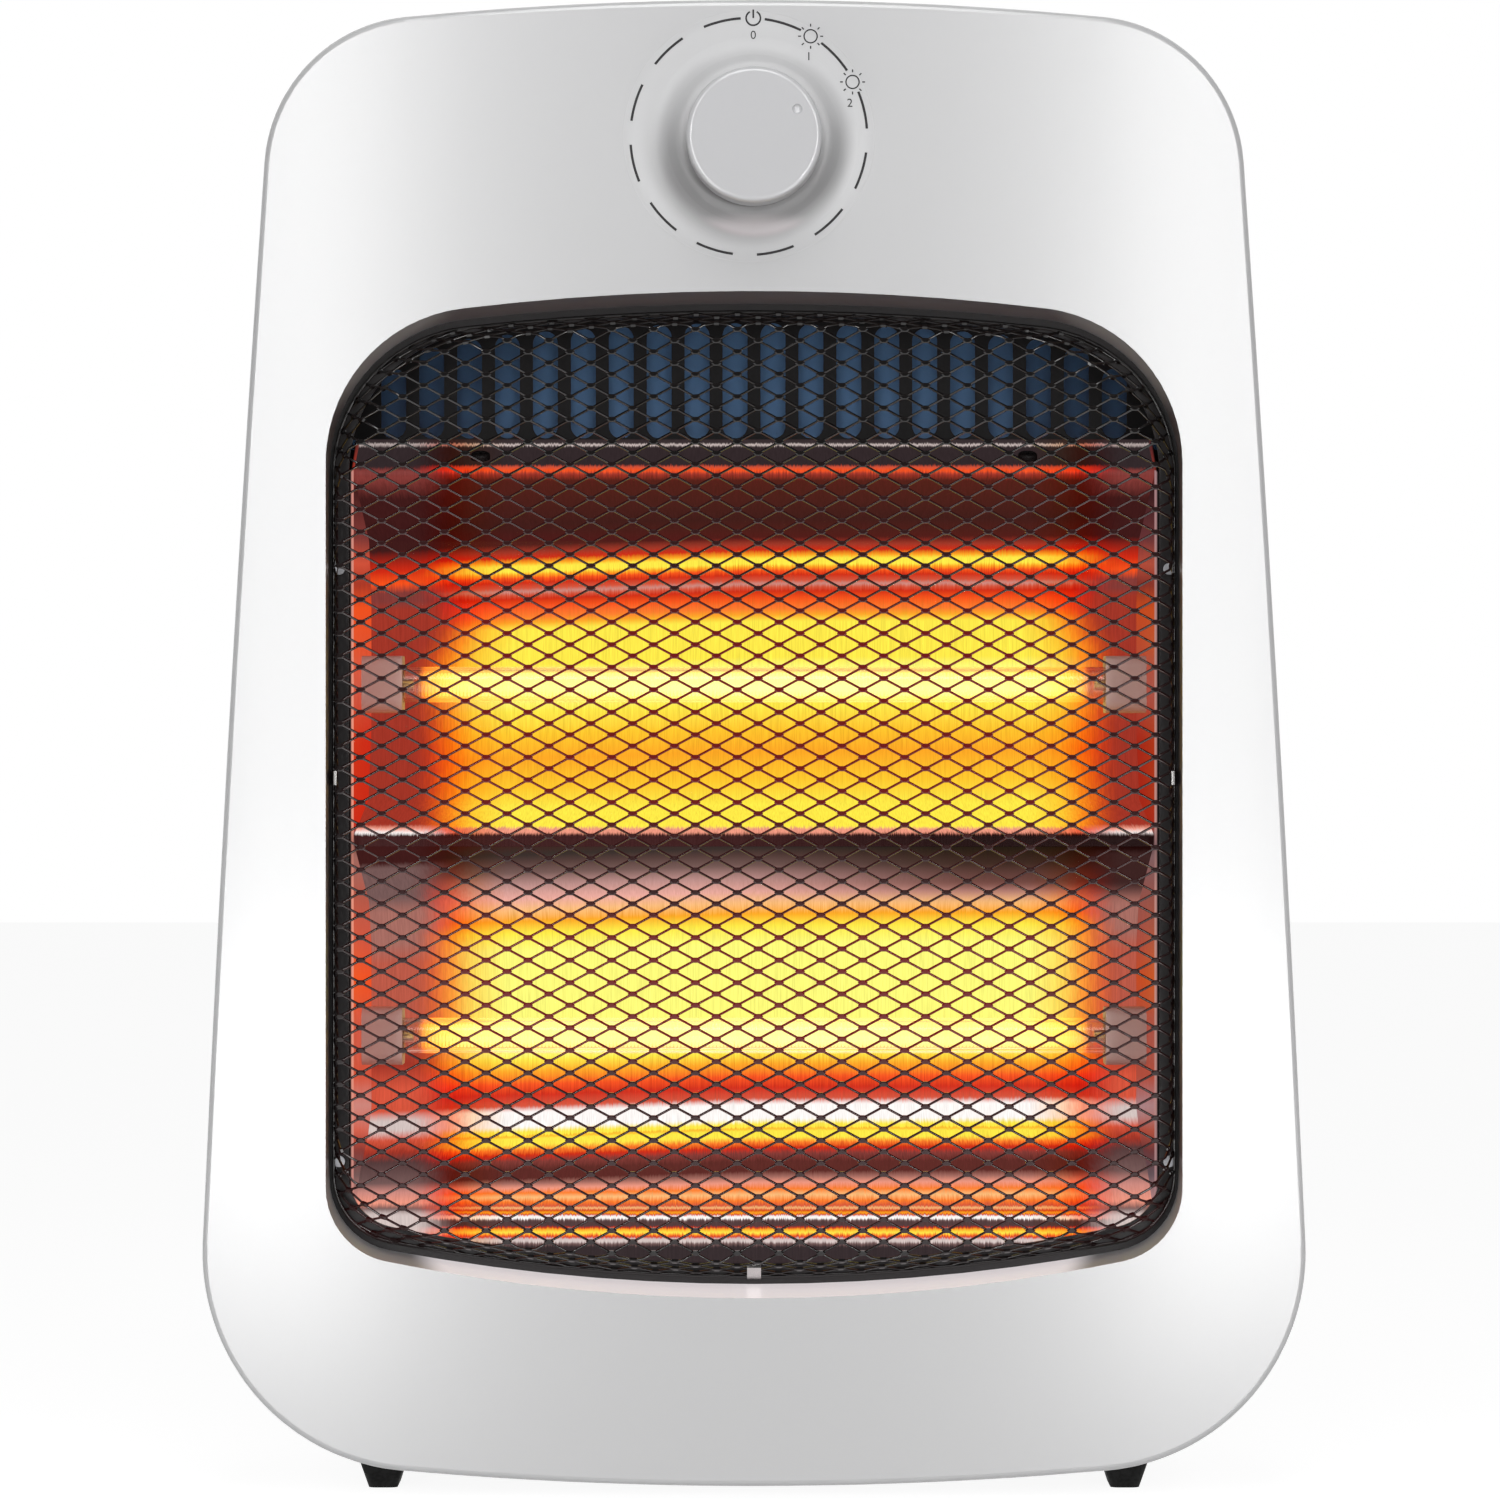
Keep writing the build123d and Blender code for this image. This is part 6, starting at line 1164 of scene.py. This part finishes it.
print_tree, start, end = new_tree("print_tree", [
    ("Mark", "Object"), ("Count", "Int"), ("First Turn", "Float"), ("Centre", "Vector"), ("Panel", "Object"),
    ("Lift", "Float"), ("Finish", "Material"),
])
spots = put(print_tree, "GeometryNodePoints",
            {"Count": start.outputs["Count"], "Position": start.outputs["Centre"]})
number = put(print_tree, "GeometryNodeInputIndex").outputs[0]
step = sums(print_tree, "DIVIDE", math.tau, start.outputs["Count"])
angle = sums(print_tree, "MULTIPLY_ADD", number, step, start.outputs["First Turn"])
turn = put(print_tree, "ShaderNodeCombineXYZ", {"Y": angle}).outputs[0]
mark = put(print_tree, "GeometryNodeObjectInfo", {"Object": start.outputs["Mark"]})
copies = put(print_tree, "GeometryNodeInstanceOnPoints",
             {"Points": spots.outputs[0], "Instance": mark.outputs["Geometry"], "Rotation": turn})
whole = put(print_tree, "GeometryNodeRealizeInstances", {0: copies.outputs[0]})
panel = put(print_tree, "GeometryNodeObjectInfo", {"Object": start.outputs["Panel"]})
here = put(print_tree, "GeometryNodeInputPosition").outputs[0]
parts = put(print_tree, "ShaderNodeSeparateXYZ", {0: here})
ahead = put(print_tree, "ShaderNodeCombineXYZ",
            {"X": parts.outputs["X"], "Y": -1.0, "Z": parts.outputs["Z"]}).outputs[0]
probe = put(print_tree, "GeometryNodeRaycast",
            {"Target Geometry": panel.outputs["Geometry"], "Source Position": ahead,
             "Ray Direction": (0.0, 1.0, 0.0), "Ray Length": PROBE_LENGTH})
struck = put(print_tree, "ShaderNodeSeparateXYZ", {0: probe.outputs["Hit Position"]})
above = sums(print_tree, "SUBTRACT", parts.outputs["Y"], start.outputs["Lift"])
depth = sums(print_tree, "ADD", struck.outputs["Y"], above)
pressed = put(print_tree, "ShaderNodeCombineXYZ",
              {"X": parts.outputs["X"], "Y": depth, "Z": parts.outputs["Z"]}).outputs[0]
flat = put(print_tree, "GeometryNodeSetPosition", {"Geometry": whole.outputs[0], "Position": pressed})
close_tree(print_tree, start, end, flat.outputs[0])


# %% Shapes of the marks
def bar_strip(title, inner, outer):
    """A thin closed strip between two lines of points in the (x, z) plane, in millimetres."""
    count = len(inner)
    points = []
    for depth in (-PRINT_THICKNESS / 2, PRINT_THICKNESS / 2):
        for line in (inner, outer):
            points += [Vector((x, depth, z)) * MM for x, z in line]

    def at(layer, line, k):
        return layer * 2 * count + line * count + k

    faces = []
    for k in range(count - 1):
        faces.append((at(0, 0, k), at(0, 0, k + 1), at(0, 1, k + 1), at(0, 1, k)))
        faces.append((at(1, 1, k), at(1, 1, k + 1), at(1, 0, k + 1), at(1, 0, k)))
        faces.append((at(0, 1, k), at(0, 1, k + 1), at(1, 1, k + 1), at(1, 1, k)))
        faces.append((at(1, 0, k), at(1, 0, k + 1), at(0, 0, k + 1), at(0, 0, k)))
    for k in (0, count - 1):
        faces.append((at(0, 0, k), at(0, 1, k), at(1, 1, k), at(1, 0, k)))
    return base_mesh(title, points, faces=faces)


def arc_strip(title, radius, width, first, last, steps=12):
    """A dash that follows a circle. Angles run clockwise from the top, in degrees."""
    angles = [math.radians(first + (last - first) * k / steps) for k in range(steps + 1)]
    rings = [[((radius + side) * math.sin(a), (radius + side) * math.cos(a)) for a in angles]
             for side in (-width / 2, width / 2)]
    return bar_strip(title, *rings)


def ray_strip(title, near, far, width):
    """A short bar that points away from the centre."""
    return bar_strip(title, [(-width / 2, near), (-width / 2, far)], [(width / 2, near), (width / 2, far)])


def number_shape(title, text, size):
    """A plain number as a thin mesh."""
    curve = bpy.data.curves.new(title, "FONT")
    curve.body = text
    curve.size = size * MM
    curve.align_x = "CENTER"
    curve.align_y = "CENTER"
    curve.extrude = PRINT_THICKNESS / 2 * MM
    letter = bpy.data.objects.new(title, curve)
    bpy.context.scene.collection.objects.link(letter)
    bpy.context.view_layer.update()
    ready = bpy.context.evaluated_depsgraph_get()
    mesh = bpy.data.meshes.new_from_object(letter.evaluated_get(ready), depsgraph=ready)
    bpy.data.objects.remove(letter)
    for vertex in mesh.vertices:
        x, y, z = vertex.co
        vertex.co = (x, -z, y)
    piece = bpy.data.objects.new(title, mesh)
    bpy.context.scene.collection.objects.link(piece)
    return piece


def print_mark(title, mark, centre, count=1, first=0.0):
    """Repeats a mark round a centre and presses it onto the panel."""
    piece = base_mesh(title, [(0, 0, 0)])
    grow(piece, print_tree, Mark=mark, Count=count, Centre=Vector((centre[0], 0, centre[1])) * MM,
         Panel=nodes["front_panel"], Lift=PRINT_LIFT * MM, Finish=ink, **{"First Turn": math.radians(first)})
    bpy.data.objects.remove(mark)
    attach(piece, HEATER)
    return piece


# %% Print the dial
DASHES = 12
DASH_ANGLE = 18.4
FIRST_DASH = 7.7
ICON_INK = 0.42
OFF_PLACE = (-0.2, 362.3)
OFF_RING_R = 1.75
OFF_RING_SPAN = (28.0, 332.0)
OFF_RING_STEPS = 28
OFF_BAR_SPAN = (0.0, 2.1)
SUNS = {"low": (13.75, 357.9), "high": (23.95, 346.8)}
SUN_R = 1.6
SUN_INK = 0.32
SUN_SPAN = (0.0, 359.9)
SUN_STEPS = 32
SUN_RAYS = 8
RAY_SPAN = (2.35, 3.05)
RAY_INK = 0.3
NUMBERS = {"0": (-0.2, 358.1), "1": (13.3, 352.9), "2": (23.3, 341.6)}
NUMBER_SIZE = 2.9

dash = arc_strip("dash", DIAL_R, INK_WIDTH, 0.0, DASH_ANGLE)
printed = [print_mark("dial_dashes", dash, DIAL_CENTRE, DASHES, FIRST_DASH)]
ring = arc_strip("ring", OFF_RING_R, ICON_INK, *OFF_RING_SPAN, OFF_RING_STEPS)
printed.append(print_mark("off_ring", ring, OFF_PLACE))
printed.append(print_mark("off_bar", ray_strip("bar", *OFF_BAR_SPAN, ICON_INK), OFF_PLACE))
for level, place in SUNS.items():
    ring = arc_strip("ring", SUN_R, SUN_INK, *SUN_SPAN, SUN_STEPS)
    printed.append(print_mark(level + "_sun_ring", ring, place))
    ray = ray_strip("ray", *RAY_SPAN, RAY_INK)
    printed.append(print_mark(level + "_sun_rays", ray, place, SUN_RAYS))
for text, place in NUMBERS.items():
    printed.append(print_mark("number_" + text, number_shape("figure", text, NUMBER_SIZE), place))
print("marks on the dial:", len(printed))

# %% [markdown]
# The floor and the backdrop are white to the camera, to mirrors and to glass. The
# room behind the camera is darker, so that the white panel keeps its modelling.
# To everything else the room is a plain soft grey, a little lighter from above.
# The floor is still a real surface, and keeps the shadow.

# %% Floor and world
FLOOR_HALF = 5.0
FLOOR_TONE = shade(165, 165, 165)
FLOOR_GLOW = 0.92
ROOM_FRONT = 0.15
ROOM_GREY = 0.05
ROOM_SKY = 0.05
ROOM_TURN = 0.3
floor = base_mesh("floor", [(-FLOOR_HALF, -FLOOR_HALF, 0), (FLOOR_HALF, -FLOOR_HALF, 0),
                            (FLOOR_HALF, FLOOR_HALF, 0), (-FLOOR_HALF, FLOOR_HALF, 0)], faces=[(0, 1, 2, 3)])


def light_paths(tree):
    """Two masks: seen by the camera, and seen by a mirror or through glass."""
    rays = put(tree, "ShaderNodeLightPath")
    mirrored = sums(tree, "MAXIMUM", rays.outputs["Is Glossy Ray"], rays.outputs["Is Transmission Ray"])
    return rays.outputs["Is Camera Ray"], mirrored


floor_white = bpy.data.materials.new("floor_white")
floor_white.use_nodes = True
tree = floor_white.node_tree
tree.nodes.clear()
camera_sees, mirror_sees = light_paths(tree)
seen = sums(tree, "MULTIPLY", sums(tree, "MAXIMUM", camera_sees, mirror_sees), FLOOR_GLOW)
paint = put(tree, "ShaderNodeBsdfDiffuse", {"Color": (*FLOOR_TONE, 1)})
light = put(tree, "ShaderNodeEmission", {"Strength": seen})
both = put(tree, "ShaderNodeAddShader", {0: paint.outputs[0], 1: light.outputs[0]})
put(tree, "ShaderNodeOutputMaterial", {"Surface": both.outputs[0]})
floor.data.materials.append(floor_white)

world = bpy.data.worlds.new("room")
bpy.context.scene.world = world
world.use_nodes = True
tree = world.node_tree
tree.nodes.clear()
camera_sees, mirror_sees = light_paths(tree)
ways = put(tree, "ShaderNodeSeparateXYZ", {0: put(tree, "ShaderNodeTexCoord").outputs["Generated"]})
backdrop = put(tree, "ShaderNodeMapRange",
               {"Value": ways.outputs["Y"], "From Min": -ROOM_TURN, "From Max": ROOM_TURN,
                "To Min": ROOM_FRONT, "To Max": 1.0}).outputs[0]
sky = sums(tree, "MULTIPLY_ADD", ways.outputs["Z"], ROOM_SKY, ROOM_GREY)
strength = put(tree, "ShaderNodeMix", {0: mirror_sees, 2: sky, 3: backdrop}).outputs[0]
strength = put(tree, "ShaderNodeMix", {0: camera_sees, 2: strength, 3: 1.0}).outputs[0]
room = put(tree, "ShaderNodeBackground", {"Color": (1, 1, 1, 1), "Strength": strength})
put(tree, "ShaderNodeOutputWorld", {"Surface": room.outputs[0]})
print("floor and world are lit")

# %% [markdown]
# Two tall softboxes stand beside the camera and draw the bright flanks of the
# crowned panel, and a small low one near each foot carries them to the bottom edge.
# A wide one above the middle throws the knob's shadow on the boss and picks out
# the strands of the guard.


# %% Lamps
def softbox(title, place, target, width, height, power):
    """A rectangular lamp that faces a point. Lengths in metres."""
    lamp = bpy.data.lights.new(title, "AREA")
    lamp.shape = "RECTANGLE"
    lamp.size = width
    lamp.size_y = height
    lamp.energy = power
    holder = bpy.data.objects.new(title, lamp)
    holder.location = place
    holder.rotation_euler = (Vector(target) - Vector(place)).to_track_quat("-Z", "Y").to_euler()
    bpy.context.scene.collection.objects.link(holder)
    return holder


for side, name in ((-1, "left"), (1, "right")):
    softbox(name + "_softbox", place=(side * 0.49, -1.32, 0.28), target=(0, 0, 0.19),
            width=0.1, height=1.15, power=7.1)
    softbox(name + "_low_softbox", place=(side * 0.235, -0.36, 0.064), target=(side * 0.1, 0, 0.05),
            width=0.15, height=0.12, power=0.26)
softbox("top_softbox", place=(0, -0.4, 0.68), target=(0, -0.04, 0.2), width=0.36, height=0.3, power=1.3)
